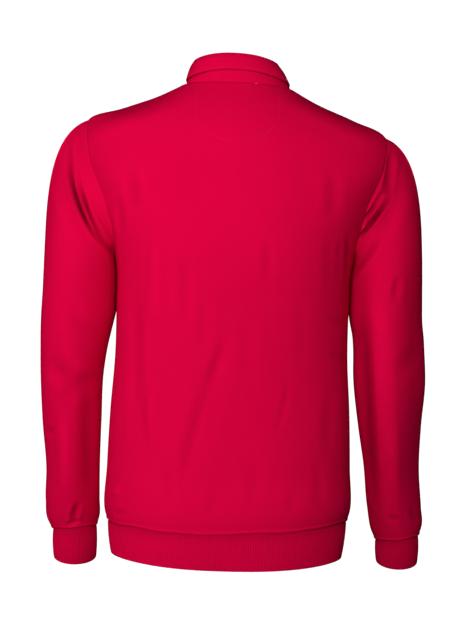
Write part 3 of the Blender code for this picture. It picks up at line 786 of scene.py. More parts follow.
def armhole(angle, side):
    """Seam points of an armhole, the trunk's normal there, and the way into the sleeve."""
    def point(at):
        turn, station = armhole_place(at)
        turn = turn if side > 0 else np.pi - turn
        from_back = trunk(turn, station, BACK_FOLDS)
        from_front = trunk(turn, station, FRONT_FOLDS)
        return np.where((np.sin(at) > 0)[..., None], from_back, from_front)

    turn, station = armhole_place(angle)
    seam = point(angle)
    normal = trunk_normal(turn if side > 0 else np.pi - turn, station)
    along = point(angle + ANGLE_STEP) - point(angle - ANGLE_STEP)
    inward = unit(np.cross(normal, along))
    across = point(angle + np.pi) - seam
    return seam, normal, inward * np.sign(np.sum(inward * across, axis=-1, keepdims=True))


def cuff_wave(side, angle):
    """How far the cuff seam lies above its ring: it rises behind and towards the body."""
    mean, outwards, behind = CUFF_WAVES[side]
    return mean + outwards * np.cos(angle) + behind * smooth(np.sin(angle))


def sleeve(name, side, material):
    columns = 2 * ARMHOLE_ROWS
    angles = -np.pi + 2 * np.pi * np.arange(columns) / columns
    seam, seam_normal, inward = armhole(angles, side)
    top = np.maximum(0, np.cos(angles))
    low = np.maximum(0, -np.cos(angles))
    spread = side * (CAP_LIFT[side] * top + PIT_SPREAD * low)
    lead = inward + np.stack((spread, np.zeros_like(spread), -np.abs(np.sin(angles))), axis=-1)
    half_turn = np.abs(np.degrees(angles))
    start = unit(lead) * np.interp(half_turn, CAP_QUARTERS, CAP_STARTS[side])[:, None]
    first_drop = ARMS[side][0][0]
    last_drop = ARMS[side][-1][0]
    ring, below = arm_points(arm_rings(side, [first_drop, first_drop + 1])[..., None], angles, side)
    end = unit(below - ring) * np.interp(half_turn, CAP_QUARTERS, CAP_ENDS)[:, None]
    t = (np.linspace(0, 1, CAP_ROWS + 1)[:-1] ** CAP_CROWDING)[:, None, None]
    cap = eased(t, seam, start, ring, end)
    drops = first_drop + (last_drop - first_drop) * crowded_end(ARM_ROWS)
    form = np.concatenate((cap, arm_points(arm_rings(side, drops)[..., None], angles, side)))
    around = np.roll(form, -1, axis=1) - np.roll(form, 1, axis=1)
    normals = unit(np.cross(around, np.gradient(form, axis=0)) * -side)
    from_seam = run_lengths(form, axis=0)
    blend = smooth(from_seam / ROLL_OUT)[..., None]
    normals = unit(seam_normal * (1 - blend) + normals * blend)
    middle = form[..., 1].mean(axis=1, keepdims=True)
    x = np.abs(form[..., 0])
    drop = -form[..., 2]
    depth = np.where(form[..., 1] > middle,
                     fold_depth(SLEEVE_FOLDS[side, "back"], x, drop),
                     fold_depth(SLEEVE_FOLDS[side, "front"], x, drop))
    depth *= smooth(np.abs(form[..., 1] - middle) / FOLD_FADE) * smooth(from_seam / CREASE_START)
    to_cuff = from_seam[-1] - from_seam
    closed_form = np.concatenate((form, form[:, :1]), axis=1)
    run = run_lengths(closed_form, axis=1)
    under_arm = np.minimum(run, run[:, [-1]] - run)[:, :-1]
    from_tip = np.linalg.norm(seam - seam[columns // 2], axis=-1)
    arm_seam = seam_relief(under_arm) * smooth(to_cuff / SEAM_END)
    relief = np.maximum(seam_relief(from_seam) * tip_calm(from_tip), arm_seam)
    relief = relief + rib_relief(to_cuff)
    outer = form - normals * (depth + relief)[..., None]
    outer[..., 2] += cuff_wave(side, angles) * np.exp(-to_cuff / WAVE_FADE)
    across = run - run[:, [columns // 2]]
    down = np.concatenate((-to_cuff, -to_cuff[:, :1]), axis=1)
    # Painted shade from fold depth and seam relief, and painted highlight on ridges.
    fold_shade = depth + RELIEF_SHADE * relief
    inner = outer - normals * JERSEY_WALL
    return sew_piece(name, outer, inner, across, down, material, closed=True, fold_shade=fold_shade)


for side, hand in ((1, "left"), (-1, "right")):
    tube = sleeve(f"sleeve_tube_{hand}", side, jersey)
    wear(tube, [f"sleeve_{hand}"])


# ---------------------------------------------------------------------------------------------
# The hem band: ribbed knit, cut double its height and folded at the foot, sewn to the trunk with
# its ribs upright. It is drawn in a little, so the cloth above stands over it.
# ---------------------------------------------------------------------------------------------
RIB_WALL = 2.0
RIB_HEIGHT = 0.55
HEM_RIBS = 280
COLUMNS_PER_RIB = 8
HEM_FOOT = (175, 119, 126, 709, 720.5, 713, 0.83)
BAND_LEVELS = np.concatenate((np.linspace(0, 0.08, 5), np.linspace(0.16, 0.92, 8)))
FOOT_ARC = np.radians((0, 30, 60, 90, 120, 150, 180))
BAND_BULGE = 1.1
RIB_CRIMSON = (0.700, 0.0009, 0.052, 1.0)
RIB_CRIMSON_DEEP = (0.540, 0.0006, 0.037, 1.0)
HEM_BAND_CUT = (0.93, 0.059)
# Painted shade below the seam, where the cloth above stands over the band, fading down it.
BAND_SHADE = 4.5
BAND_SHADE_FADE = 14.0
RIB_START = 3.0
RIB_ROUNDNESS = 2.2
FOOT_RIB_SHARE = 0.9
RIB_COURSE_SHARE = 0.4
# Painted shade in the grooves between ribs.
GROOVE_SHADE = 0.17
RIB_LOOP_DEPTH = 0.0002
RIB_ROUGHNESS = 0.9
RIB_SHEEN = 0.03
RING_SAMPLES = 721
UPWARDS = np.array((0.0, 0.0, 1.0))


def rib_knit_relief(start):
    """Fine stitches along each rib, and painted shade between two ribs."""
    flat = start.cut()
    course = (flat.output("Y") / COURSE).wave()
    rib = start.fraction("rib")
    return course * RIB_COURSE_SHARE, (1 - rib) * GROOVE_SHADE, RIB_LOOP_DEPTH


rib_knit = cloth_material(
    "crimson rib knit", RIB_CRIMSON, RIB_CRIMSON_DEEP, rib_knit_relief, RIB_ROUGHNESS, RIB_SHEEN
)


def empty_tree(name, inputs, output):
    """A geometry tree with named inputs and one output, a strand to start from, and its inputs."""
    tree = bpy.data.node_groups.new(name, "GeometryNodeTree")
    for label, kind in inputs:
        tree.interface.new_socket(label, in_out="INPUT", socket_type=f"NodeSocket{kind}")
    tree.interface.new_socket(output, in_out="OUTPUT", socket_type="NodeSocketGeometry")
    start = Strand(tree)
    return tree, start, start.node("NodeGroupInput", {}, {})


def end_tree(start, shape, material, output):
    """Ends a tree: its instances are made real, given their material and put out."""
    real = start.node("GeometryNodeRealizeInstances", {}, {"Geometry": shape})
    dressed = start.node("GeometryNodeSetMaterial", {}, {"Geometry": real, "Material": material})
    start.node("NodeGroupOutput", {}, {output: dressed})


def ribbing_tree():
    """Raises ribs on a band: rib shares come from "around", and "raised" says where they stand."""
    inputs = (("Band", "Geometry"), ("Ribs", "Float"), ("Rib height", "Float"), ("Knit", "Material"))
    tree, start, given = empty_tree("ribbing", inputs, "Ribbing")
    crest = 1 - abs((start.noted("around") * given.output("Ribs") * 0.5).wave()) ** RIB_ROUNDNESS
    lift = crest * start.noted("raised") * given.output("Rib height")
    normal = start.node("GeometryNodeInputNormal", {}, {})
    offset = start.node("ShaderNodeVectorMath", {"operation": "SCALE"}, {0: normal, "Scale": lift})
    with_rib = start.node(
        "GeometryNodeStoreNamedAttribute",
        {"data_type": "FLOAT", "domain": "POINT"},
        {"Geometry": given.output("Band"), "Name": "rib", "Value": crest},
    )
    moved = start.node("GeometryNodeSetPosition", {}, {"Geometry": with_rib, "Offset": offset})
    end_tree(start, moved, given.output("Knit"), "Ribbing")
    return tree


def grow(piece, tree, values):
    """Runs a tree on a piece and keeps the result as its plain mesh."""
    modifier = piece.modifiers.new("tree", "NODES")
    modifier.node_group = tree
    for item in tree.interface.items_tree:
        if item.name in values:
            modifier[item.identifier] = values[item.name]
    graph = bpy.context.evaluated_depsgraph_get()
    made = bpy.data.meshes.new_from_object(piece.evaluated_get(graph))
    piece.modifiers.remove(modifier)
    piece.data = made
    return piece


ribbing = ribbing_tree()


def ribbed_band(name, outline, ribs, length, height, material):
    """A folded band. outline(share, level) gives its points and normals, level 0 at the seam."""
    columns = ribs * COLUMNS_PER_RIB
    shares = np.arange(columns) / columns
    rows = []
    raised = []

    def face(level, under):
        points, normals = outline(shares, level)
        bulge = BAND_BULGE * math.sin(math.pi * level)
        sink = RIB_SEAM_DEPTH * math.exp(-((level * height / SEAM_WIDTH) ** 2))
        return points + normals * (bulge - sink - under)

    for level in BAND_LEVELS:
        rows.append(face(level, 0.0))
        raised.append(float(smooth(level * height / RIB_START)))
    foot, foot_normals = outline(shares, 1.0)
    radius = RIB_WALL / 2
    for arc in FOOT_ARC:
        centre = foot - foot_normals * radius + UPWARDS * radius
        turned = foot_normals * math.cos(arc) - UPWARDS * math.sin(arc)
        rows.append(centre + turned * radius)
        raised.append(math.cos(arc / 2) * FOOT_RIB_SHARE)
    for level in BAND_LEVELS[::-2]:
        rows.append(face(level, RIB_WALL))
        raised.append(0.0)
    rows = np.array(rows)
    row_count = len(rows)
    index = np.arange(row_count * columns).reshape(row_count, columns)
    faces = tube_faces(np.concatenate((index, index[:1])))
    points = rows.reshape(-1, 3) * METRES
    if inside_out(points, faces):
        faces = faces[:, ::-1]
    mesh = bpy.data.meshes.new(name)
    mesh.from_pydata(points.tolist(), [], faces.tolist())
    from_seam = run_lengths(rows[:, :1], axis=0)[:, 0]
    note(mesh, "around", np.tile(shares, row_count))
    # Painted shade under the seam, fading down the band.
    note(mesh, "fold_shade", np.repeat(BAND_SHADE * np.exp(-from_seam / BAND_SHADE_FADE), columns))
    note(mesh, "raised", np.repeat(raised, columns))
    down = from_seam * METRES
    column = faces % columns
    wrapped = (column == 0) & (np.max(column, axis=1, keepdims=True) == columns - 1)
    u = (column + columns * wrapped) / columns * length
    v = down[faces // columns]
    layer = mesh.uv_layers.new(name="cut")
    layer.data.foreach_set("uv", np.stack((u, v), axis=-1).ravel())
    mesh.shade_smooth()
    values = {"Ribs": float(ribs), "Rib height": RIB_HEIGHT * METRES, "Knit": material}
    return grow(placed(name, mesh), ribbing, values)


def even_turns(ring, shares):
    """Turns at even shares of the way round a trunk ring."""
    turns = np.linspace(0, 2 * np.pi, RING_SAMPLES)
    run = run_lengths(ring_points(ring, turns), axis=0)
    return np.interp(shares * run[-1], run, turns)


def hem_outline(shares, level):
    top = np.array(TRUNK[-1][1:], float)
    turns = even_turns(top, shares)
    ring = top + (np.array(HEM_FOOT) - top) * level
    points = lean(ring_points(ring, turns))
    points[:, 2] += seam_wave(turns) * (1 - level) ** 2
    ahead = np.roll(points, -1, axis=0) - np.roll(points, 1, axis=0)
    return points, unit(np.cross(ahead, (0, 0, 1)))


hem_height = HEM_FOOT[3] - TRUNK[-1][4]
hem = ribbed_band("hem_ribbing", hem_outline, HEM_RIBS, HEM_BAND_CUT[0], hem_height, rib_knit)
wear(hem, ["hem_band"])


# ---------------------------------------------------------------------------------------------
# The cuffs: the same ribbed knit, folded double like the hem band and sewn to the end of each
# sleeve, which is gathered into them.
# ---------------------------------------------------------------------------------------------
# The ring at each cuff's foot. At its seam a cuff has the sleeve's last ring.
CUFF_FEET = {1: (732, 237.5, -97, 33.5, 32, -0.30, 0), -1: (727, 268, -97, 32.5, 32, -0.30, 0)}
CUFF_RIBS = 58
CUFF_WAVE_POWER = 1.5
# The left cuff shows more of its height than the right one.
CUFF_CUTS = {1: (0.215, 0.056), -1: (0.215, 0.047)}


def cuff_outline(side):
    top, foot = (np.array(ring, float) for ring in (ARMS[side][-1], CUFF_FEET[side]))

    def outline(shares, level):
        angles = side * 2 * np.pi * shares
        points = arm_points(top + (foot - top) * level, angles, side)
        points[:, 2] += cuff_wave(side, angles) * (1 - level) ** CUFF_WAVE_POWER
        ahead = np.roll(points, -1, axis=0) - np.roll(points, 1, axis=0)
        return points, unit(np.cross(ahead, (0, 0, 1)))

    return outline


for side, hand in ((1, "left"), (-1, "right")):
    cuff_height = CUFF_FEET[side][0] - ARMS[side][-1][0]
    ribs = ribbed_band(
        f"cuff_ribbing_{hand}", cuff_outline(side), CUFF_RIBS, CUFF_CUTS[side][0], cuff_height, rib_knit
    )
    wear(ribs, [f"cuff_{hand}"])


# ---------------------------------------------------------------------------------------------
# The collar: a stand of doubled jersey sewn round the neck, and a fall that sits on the stand's
# top edge, turns over and lies outside it down to two points at the front.
# ---------------------------------------------------------------------------------------------
COLLAR_WALL = 2.0
STAND = (
    (0.0, *TRUNK[0][1:]),
    (0.5, 69, 57, 79, -17, -22, 62, 0.90),
    (1.0, 61.5, 52.5, 76, -34, -42, 43, 0.88),
)
FALL_MIDDLE = (73, 60, 94, -22, -32, 72, 0.88)
FALL_EDGE = (79.5, 61.5, 106, -6, -19, 98, 0.88)
STAND_END = 1.8
FALL_END = 3.0
FALL_POINT = 40
STAND_TUCK = 0.6
# The fall's face where it turns over the stand's top edge: how far out and up.
TURN_OVER = ((-2.0, 0.4), (-1.3, 2.1), (0.4, 2.8), (2.2, 2.2), (3.6, 0.4))
TURN_ROWS = 20
FACE_ROWS = 28
COLLAR_COLUMNS = 181
CENTRE_BACK = COLLAR_COLUMNS // 2
STAND_LEVELS = np.linspace(0, 1, 25)


def collar_row(ring, end):
    """Points of a collar ring from one front end round the back to the other."""
    half_width = ring[0]
    roundness = ring[-1]
    opening = math.acos((end / half_width) ** (1 / roundness))
    turns = -opening + (math.pi + 2 * opening) * crowded(COLLAR_COLUMNS)
    return lean(ring_points(ring, turns)), turns


def outward(row):
    """Level vectors that point away from the neck."""
    return unit(np.cross(np.gradient(row, axis=0), (0, 0, 1)))


def rolled(distance, wall):
    """How far a folded edge's faces draw in towards each other, beside the edge."""
    radius = wall / 2
    inset = np.maximum(radius - distance, 0)
    return radius - np.sqrt(radius ** 2 - inset ** 2)


stand_rows = [collar_row(ring, STAND_END) for ring in read_rings(STAND, STAND_LEVELS).T]
stand_outer = np.array([points for points, turns in stand_rows])
stand_out = np.array([outward(points) for points, turns in stand_rows])
stand_down = np.repeat(run_lengths(stand_outer[:, [CENTRE_BACK]], axis=0), COLLAR_COLUMNS, axis=1)
near_seam = np.exp(-((stand_down / SEAM_WIDTH) ** 2))[..., None]
seam_normal = trunk_normal(stand_rows[0][1], np.zeros(COLLAR_COLUMNS))
stand_normal = unit(seam_normal * near_seam + stand_out * (1 - near_seam))
stand_outer = stand_outer - stand_normal * near_seam * SEAM_DEPTH
stand_outer[..., 2] -= STAND_TUCK * near_seam[..., 0]
stand_piece = sew_piece(
    "stand_leaf",
    stand_outer,
    stand_outer - stand_normal * COLLAR_WALL,
    run_lengths(stand_outer, axis=1),
    stand_down,
    jersey,
)
wear(stand_piece, ["collar_stand"])

top_row = collar_row(STAND[-1][1:], STAND_END)[0]
away = outward(top_row)
face_rows = [top_row + away * reach + UPWARDS * rise for reach, rise in TURN_OVER]
face_rows.append(collar_row(FALL_MIDDLE, (FALL_END + FALL_POINT) / 2)[0])
edge_row = collar_row(FALL_EDGE, FALL_POINT)[0]
face_rows.append(edge_row)
face_rows = np.array(face_rows)
face_knots = run_lengths(face_rows, axis=0).mean(axis=1)
turn_knot = face_knots[len(TURN_OVER) - 1]
flat_keys = turn_knot + (face_knots[-1] - turn_knot) * np.sin(np.linspace(0, np.pi / 2, FACE_ROWS))
face_keys = np.concatenate((np.linspace(0, turn_knot, TURN_ROWS)[:-1], flat_keys))
fall_face = through(face_knots, face_rows, face_keys)
fall_out = unit(np.cross(np.gradient(fall_face, axis=1), np.gradient(fall_face, axis=0)))
fall_out *= np.sign(np.sum(fall_out[-1] * outward(edge_row), axis=-1).mean())
to_edge = face_keys[-1] - face_keys
fall_run = run_lengths(fall_face, axis=1)
to_edge = np.minimum(to_edge[:, None], np.minimum(fall_run, fall_run[:, [-1]] - fall_run))
fall_roll = fall_out * rolled(to_edge, COLLAR_WALL)[..., None]
fall_inside = fall_face - fall_out * COLLAR_WALL + fall_roll
fall_face = fall_face - fall_roll
fall_down = np.repeat(run_lengths(fall_face[:, [CENTRE_BACK]], axis=0), COLLAR_COLUMNS, axis=1)
fall_piece = sew_piece(
    "fall_leaf", fall_face, fall_inside, fall_run - fall_run[:, [CENTRE_BACK]], fall_down, jersey
)
wear(fall_piece, ["collar_fall"])


# ---------------------------------------------------------------------------------------------
# The placket: two doubled bands of jersey in the front's slot. The upper one laps over the lower
# one, closes with the buttons and is stitched down across its foot.
# ---------------------------------------------------------------------------------------------
BAND_WALL = 2.5
BAND_PROUD = 1.2
BAND_GAP = 0.3
# The bands run a little over the front's edge, so no light shows beside them.
BAND_LAP = 0.6
BAND_COLUMNS = 25
BAND_ROLL = 1.6
BAND_ROLL_DEPTH = 0.9


def placket_face(proud):
    """A band's outer face, the way out of it, and distances across and down it."""
    stations = panel_rows()[0][:SLOT_FOOT_ROW + 1].copy()
    stations[0] += BAND_GAP / 2
    stations[-1] -= BAND_GAP / 2
    middle = turn_at(stations, SLOT_HALF + BAND_LAP)[:, None]
    shares = crowded(BAND_COLUMNS)
    turn = -(middle + (np.pi - 2 * middle) * shares)
    station = np.repeat(stations[:, None], BAND_COLUMNS, axis=1)
    form = trunk(turn, station, FRONT_FOLDS)
    normals = trunk_normal(turn, station)
    across = run_lengths(form, axis=1)
    down = run_lengths(form, axis=0)
    to_edge = np.minimum(across, across[:, [-1]] - across)
    roll = BAND_ROLL_DEPTH * np.exp(-((to_edge / BAND_ROLL) ** 2))
    return form + normals * (proud - roll)[..., None], normals, across, down


def placket_band(name, proud, material):
    outer, normals, across, down = placket_face(proud)
    return sew_piece(name, outer, outer - normals * BAND_WALL, across, down, material)


for name, node, proud in (
    ("band_upper", "placket_upper", BAND_PROUD),
    ("band_lower", "placket_lower", BAND_PROUD - BAND_WALL - BAND_GAP),
):
    band = placket_band(name, proud, jersey)
    wear(band, [node])


# ---------------------------------------------------------------------------------------------
# The stitching: cotton-wrapped thread in the cloth's red. A lockstitch row runs round the fall and
# the placket, close bar stitches bind the buttonholes, and a half-moon shows below the neck.
# ---------------------------------------------------------------------------------------------
RUN_PITCH = 2.6
RUN_STITCH = (1.05, 0.22, 0.22)
BIND_PITCH = 0.4
BIND_STITCH = (0.65, 0.2, 0.2)
TACK_PITCH = 1.2
TACK_STITCH = (0.8, 0.3, 0.3)
THREAD_SIDES = 6
THREAD_RINGS = 4
THREAD_RED = (0.620, 0.002, 0.050, 1.0)
THREAD_RED_LIGHT = (0.780, 0.006, 0.085, 1.0)
TACK_PALE = (0.86, 0.42, 0.46, 1.0)
TACK_PALE_LIGHT = (0.95, 0.62, 0.64, 1.0)
COLLAR_MARGIN = 5.0
FRONT_MARGIN = 14.0
BAND_MARGIN = 2.5
BOX_MARGIN = 15.0
# Columns of a band's face that its cross stitching leaves free at each side.
FOOT_INSET = 5
TWIST_SCALE = 1400.0
TWIST_DETAIL = 1.0
TWIST_SHARE = 0.2
THREAD_ROUGHNESS = 0.6
THREAD_GLOSS = 0.15
BUTTON_STATIONS = (26, 112, 196)
BUTTONHOLE_HALF = 0.8
BUTTONHOLE_REACH = 7.4
BUTTONHOLE_POINTS = 60
# The half-moon: half its width, where its ends and its curve start below the neck, and its depth.
MOON_HALF = 62
MOON_TOP = 8
MOON_MIDDLE = 45
MOON_DEPTH = 47
MOON_POINTS = 25
TACK_ENDS = (-27.4, -25.8)
TACK_STATION = 1.5


def thread_material(name, light, dark):
    """Twisted thread: a low sheen and a slightly uneven dye."""
    material, shader, start = fresh_material(name)
    twist = start.noise(TWIST_SCALE, TWIST_DETAIL)
    twist.mixed(light, dark).into(shader, "Base Color")
    (THREAD_ROUGHNESS + twist * TWIST_SHARE).into(shader, "Roughness")
    shader.inputs["Specular IOR Level"].default_value = THREAD_GLOSS
    return material


def stitching_tree():
    """Lays stitches along lines: "up" points out of the cloth and "along" the way each one lies."""
    inputs = (("Lines", "Geometry"), ("Pitch", "Float"), ("Stitch", "Vector"), ("Thread", "Material"))
    tree, start, given = empty_tree("stitching", inputs, "Stitching")
    line = start.node("GeometryNodeMeshToCurve", {}, {"Mesh": given.output("Lines")})
    places = start.node(
        "GeometryNodeResampleCurve", {"mode": "LENGTH"}, {"Curve": line, "Length": given.output("Pitch")}
    )
    up = start.noted("up", "FLOAT_VECTOR")
    along = start.noted("along", "FLOAT_VECTOR")
    turned = start.node(
        "FunctionNodeAxesToRotation",
        {"primary_axis": "Z", "secondary_axis": "X"},
        {"Primary Axis": up, "Secondary Axis": along},
    )
    bead = start.node(
        "GeometryNodeMeshUVSphere",
        {},
        {"Segments": THREAD_SIDES, "Rings": THREAD_RINGS, "Radius": 1.0},
    )
    laid = start.node(
        "GeometryNodeInstanceOnPoints",
        {},
        {"Points": places, "Instance": bead, "Rotation": turned, "Scale": given.output("Stitch")},
    )
    end_tree(start, laid, given.output("Thread"), "Stitching")
    return tree


red_thread = thread_material("crimson thread", THREAD_RED, THREAD_RED_LIGHT)
pale_thread = thread_material("pale tacking thread", TACK_PALE, TACK_PALE_LIGHT)
stitching = stitching_tree()


def stitch_line(points, ups, crosswise=False):
    """A line of stitches that lie along it, or across it: its points and their two directions."""
    ahead = unit(np.gradient(points, axis=0))
    return points, ups, np.cross(ups, ahead) if crosswise else ahead


def stitch(name, lines, pitch, half_sizes, thread):
    """Sews lines into the garment, all in one piece."""
    mesh = bpy.data.meshes.new(name)
    edges = []
    first = 0
    for line in lines:
        count = len(line[0])
        edges += [(first + step, first + step + 1) for step in range(count - 1)]
        first += count
    points = np.concatenate([line[0] for line in lines]) * METRES
    mesh.from_pydata(points.tolist(), edges, [])
    for place, attribute in ((1, "up"), (2, "along")):
        ways = np.concatenate([line[place] for line in lines]).astype(np.float32)
        mesh.attributes.new(attribute, "FLOAT_VECTOR", "POINT").data.foreach_set("vector", ways.ravel())
    piece = placed(name, mesh)
    stitch_size = [half * METRES for half in half_sizes]
    grow(piece, stitching, {"Pitch": pitch * METRES, "Stitch": stitch_size, "Thread": thread})
    piece.data.shade_smooth()
    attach(piece, "root")
    return piece


def row_beside(faces, ways, lengths, distance):
    """A stitch line at a distance along each row of a grid."""
    def read(grid):
        return np.array([
            [np.interp(distance, length, row[:, axis]) for axis in range(3)]
            for length, row in zip(lengths, grid)
        ])

    return stitch_line(read(faces), unit(read(ways)))


def framed(faces, ways, across, margin):
    """Stitch lines at a margin from both ends of a grid's rows."""
    back_across = (across[:, [-1]] - across)[:, ::-1]
    return [
        row_beside(faces, ways, across, margin),
        row_beside(faces[:, ::-1], ways[:, ::-1], back_across, margin),
    ]


foot_row = np.argmin(np.abs(face_keys[-1] - face_keys - COLLAR_MARGIN))
open_rows = slice(np.argmin(np.abs(face_keys - FRONT_MARGIN)), foot_row + 1)
collar_lines = framed(fall_face[open_rows], fall_out[open_rows], fall_run[open_rows], COLLAR_MARGIN)
from_front = np.minimum(fall_run[foot_row], fall_run[foot_row, -1] - fall_run[foot_row])
between = from_front > COLLAR_MARGIN
collar_lines.append(stitch_line(fall_face[foot_row, between], fall_out[foot_row, between]))
stitch("collar_stitching", collar_lines, RUN_PITCH, RUN_STITCH, red_thread)

band_face, band_out, band_across, band_down = placket_face(BAND_PROUD)
band_lines = framed(band_face, band_out, band_across, BAND_MARGIN)
upright = (1, 0, 2)
to_foot = (band_down[-1] - band_down).T[:, ::-1]
inside = slice(FOOT_INSET, -FOOT_INSET)
for margin in (BAND_MARGIN, BOX_MARGIN):
    turned_face = np.transpose(band_face, upright)[inside, ::-1]
    turned_out = np.transpose(band_out, upright)[inside, ::-1]
    band_lines.append(row_beside(turned_face, turned_out, to_foot[inside], margin))
stitch("placket_stitching", band_lines, RUN_PITCH, RUN_STITCH, red_thread)

hole_lines = []
for middle in BUTTON_STATIONS:
    round_hole = np.linspace(0, 2 * np.pi, BUTTONHOLE_POINTS)
    above, below = trunk_form(np.full(2, -np.pi / 2), middle + np.array((-0.5, 0.5)))
    stations_per_mm = 1 / np.linalg.norm(below - above)
    station = middle + BUTTONHOLE_REACH * stations_per_mm * np.sin(round_hole)
    turn = -turn_at(station, BUTTONHOLE_HALF * np.cos(round_hole))
    way_out = trunk_normal(turn, station)
    edge = trunk(turn, station, FRONT_FOLDS) + way_out * BAND_PROUD
    hole_lines.append(stitch_line(edge, way_out, crosswise=True))
stitch("buttonhole_stitching", hole_lines, BIND_PITCH, BIND_STITCH, red_thread)


def on_back(x, drop):
    """A stitch line on the back through places given across and down from the neck base."""
    stations = np.linspace(NECK_STATION, ARMPIT_STATION, ARMPIT_STATION + 1)
    station = []
    for across, wanted in zip(x, drop):
        drops = -trunk_form(turn_at(stations, across), stations)[:, 2]
        station.append(np.interp(wanted, drops, stations))
    station = np.array(station)
    turn = turn_at(station, x)
    return stitch_line(trunk(turn, station, BACK_FOLDS), trunk_normal(turn, station))


limb = np.linspace(MOON_TOP, MOON_MIDDLE, MOON_POINTS // 2)[:-1]
arc = np.linspace(0, np.pi, MOON_POINTS)
limb_x = np.full_like(limb, MOON_HALF)
moon_x = np.concatenate((limb_x, MOON_HALF * np.cos(arc), -limb_x))
moon_drop = np.concatenate((limb, MOON_MIDDLE + MOON_DEPTH * np.sin(arc), limb[::-1]))
stitch("half_moon_stitching", [on_back(moon_x, moon_drop)], RUN_PITCH, RUN_STITCH, red_thread)

tack_x = np.array(TACK_ENDS)
tack_station = np.full_like(tack_x, TACK_STATION)
tack_turn = turn_at(tack_station, tack_x)
tack = stitch_line(trunk(tack_turn, tack_station, BACK_FOLDS), trunk_normal(tack_turn, tack_station))
stitch("neck_tack", [tack], TACK_PITCH, TACK_STITCH, pale_thread)


# ---------------------------------------------------------------------------------------------
# The buttons: three turned discs of dyed resin with a rounded rim, a shallow dish and four holes.
# Each is sewn through its holes to the lower band and stands in its buttonhole.
# ---------------------------------------------------------------------------------------------
BUTTON_GAP = 0.3
# Half of a button's section: how far from its middle, and how high over the cloth.
BUTTON_SECTION = (
    (4.5, 0.0),
    (5.35, 0.3),
    (5.7, 0.9),
    (5.7, 1.4),
    (5.45, 2.0),
    (5.0, 2.35),
    (4.5, 2.4),
    (4.15, 2.25),
    (3.9, 1.95),
    (3.5, 1.8),
)
BUTTON_SIDES = 72
HOLE_RADIUS = 0.9
HOLE_OFFSET = 1.45
HOLE_SIDES = 20
DRILL_ENDS = (-1.0, 4.0)
RESIN = (0.340, 0.004, 0.030, 1.0)
RESIN_DEEP = (0.260, 0.002, 0.020, 1.0)
CLOUD_SCALE = 320.0
CLOUD_DETAIL = 2.0
CLOUD_SHARE = 0.16
RESIN_ROUGHNESS = 0.28
BUTTON_SHARP = math.radians(40)
STRAND_RADIUS = 0.2
STRAND_STEP = 0.34
STRAND_SIDES = 8
# A strand from one hole to the next: how far along in shares of the hole's offset, and how high.
STRAND_PATH = (
    (-1.0, 0.5),
    (-1.0, 1.5),
    (-0.84, 1.95),
    (-0.45, 2.15),
    (0.45, 2.15),
    (0.84, 1.95),
    (1.0, 1.5),
    (1.0, 0.5),
)


def resin_material():
    """Dyed resin with a faint cloud in it and a satin face."""
    material, shader, start = fresh_material("satin crimson resin")
    cloud = start.noise(CLOUD_SCALE, CLOUD_DETAIL)
    cloud.mixed(RESIN, RESIN_DEEP).into(shader, "Base Color")
    (RESIN_ROUGHNESS + cloud * CLOUD_SHARE).into(shader, "Roughness")
    return material


def solid_of_rings(name, stacks, material):
    """One mesh of closed tubes: each stack of rings is shut by a face at both ends."""
    faces = []
    first = 0
    for rings in stacks:
        count, sides = rings.shape[:2]
        index = first + np.arange(count * sides).reshape(count, sides)
        faces += tube_faces(index).tolist()
        faces += [index[0, ::-1].tolist(), index[-1].tolist()]
        first += count * sides
    points = np.concatenate([rings.reshape(-1, 3) for rings in stacks]) * METRES
    mesh = bpy.data.meshes.new(name)
    mesh.from_pydata(points.tolist(), [], faces)
    mesh.materials.append(material)
    return placed(name, mesh)


def button_seat(station):
    """Where a button lies, and the ways across it, down it and out of the cloth."""
    turn = np.array([-np.pi / 2])
    out = trunk_normal(turn, np.array([float(station)]))[0]
    middle = trunk(turn, np.array([float(station)]), FRONT_FOLDS)[0] + out * (BAND_PROUD + BUTTON_GAP)
    across = unit(np.cross((0, 0, 1), out))
    return middle, across, np.cross(out, across), out


def ring_round(middle, across, down, out, radius, height, sides):
    angles = np.linspace(0, 2 * np.pi, sides, endpoint=False)[:, None]
    return middle + out * height + radius * (across * np.cos(angles) + down * np.sin(angles))


def strand_rings(path, across):
    """Rings round a strand of thread whose path bends in a plane that across stands on."""
    ahead = unit(np.gradient(path, axis=0))[:, None]
    angles = np.linspace(0, 2 * np.pi, STRAND_SIDES, endpoint=False)[None, :, None]
    aside = np.cross(ahead, across)
    return path[:, None] + STRAND_RADIUS * (across * np.cos(angles) + aside * np.sin(angles))


def button(name, station, material):
    middle, across, down, out = button_seat(station)
    rings = [
        ring_round(middle, across, down, out, radius, height, BUTTON_SIDES)
        for radius, height in BUTTON_SECTION
    ]
    disc = solid_of_rings(name, [np.array(rings)], material)
    drills = []
    for column in (-1, 1):
        for row in (-1, 1):
            centre = middle + HOLE_OFFSET * (column * across + row * down)
            rings = [
                ring_round(centre, across, down, out, HOLE_RADIUS, height, HOLE_SIDES)
                for height in DRILL_ENDS
            ]
            drill = solid_of_rings(f"{name}_drill", [np.array(rings)], material)
            cut = disc.modifiers.new("thread hole", "BOOLEAN")
            cut.operation = "DIFFERENCE"
            cut.object = drill
            drills.append(drill)
    graph = bpy.context.evaluated_depsgraph_get()
    drilled = bpy.data.meshes.new_from_object(disc.evaluated_get(graph))
    disc.modifiers.clear()
    disc.data = drilled
    for drill in drills:
        bpy.data.objects.remove(drill)
    drilled.shade_smooth()
    drilled.set_sharp_from_angle(angle=BUTTON_SHARP)
    return disc


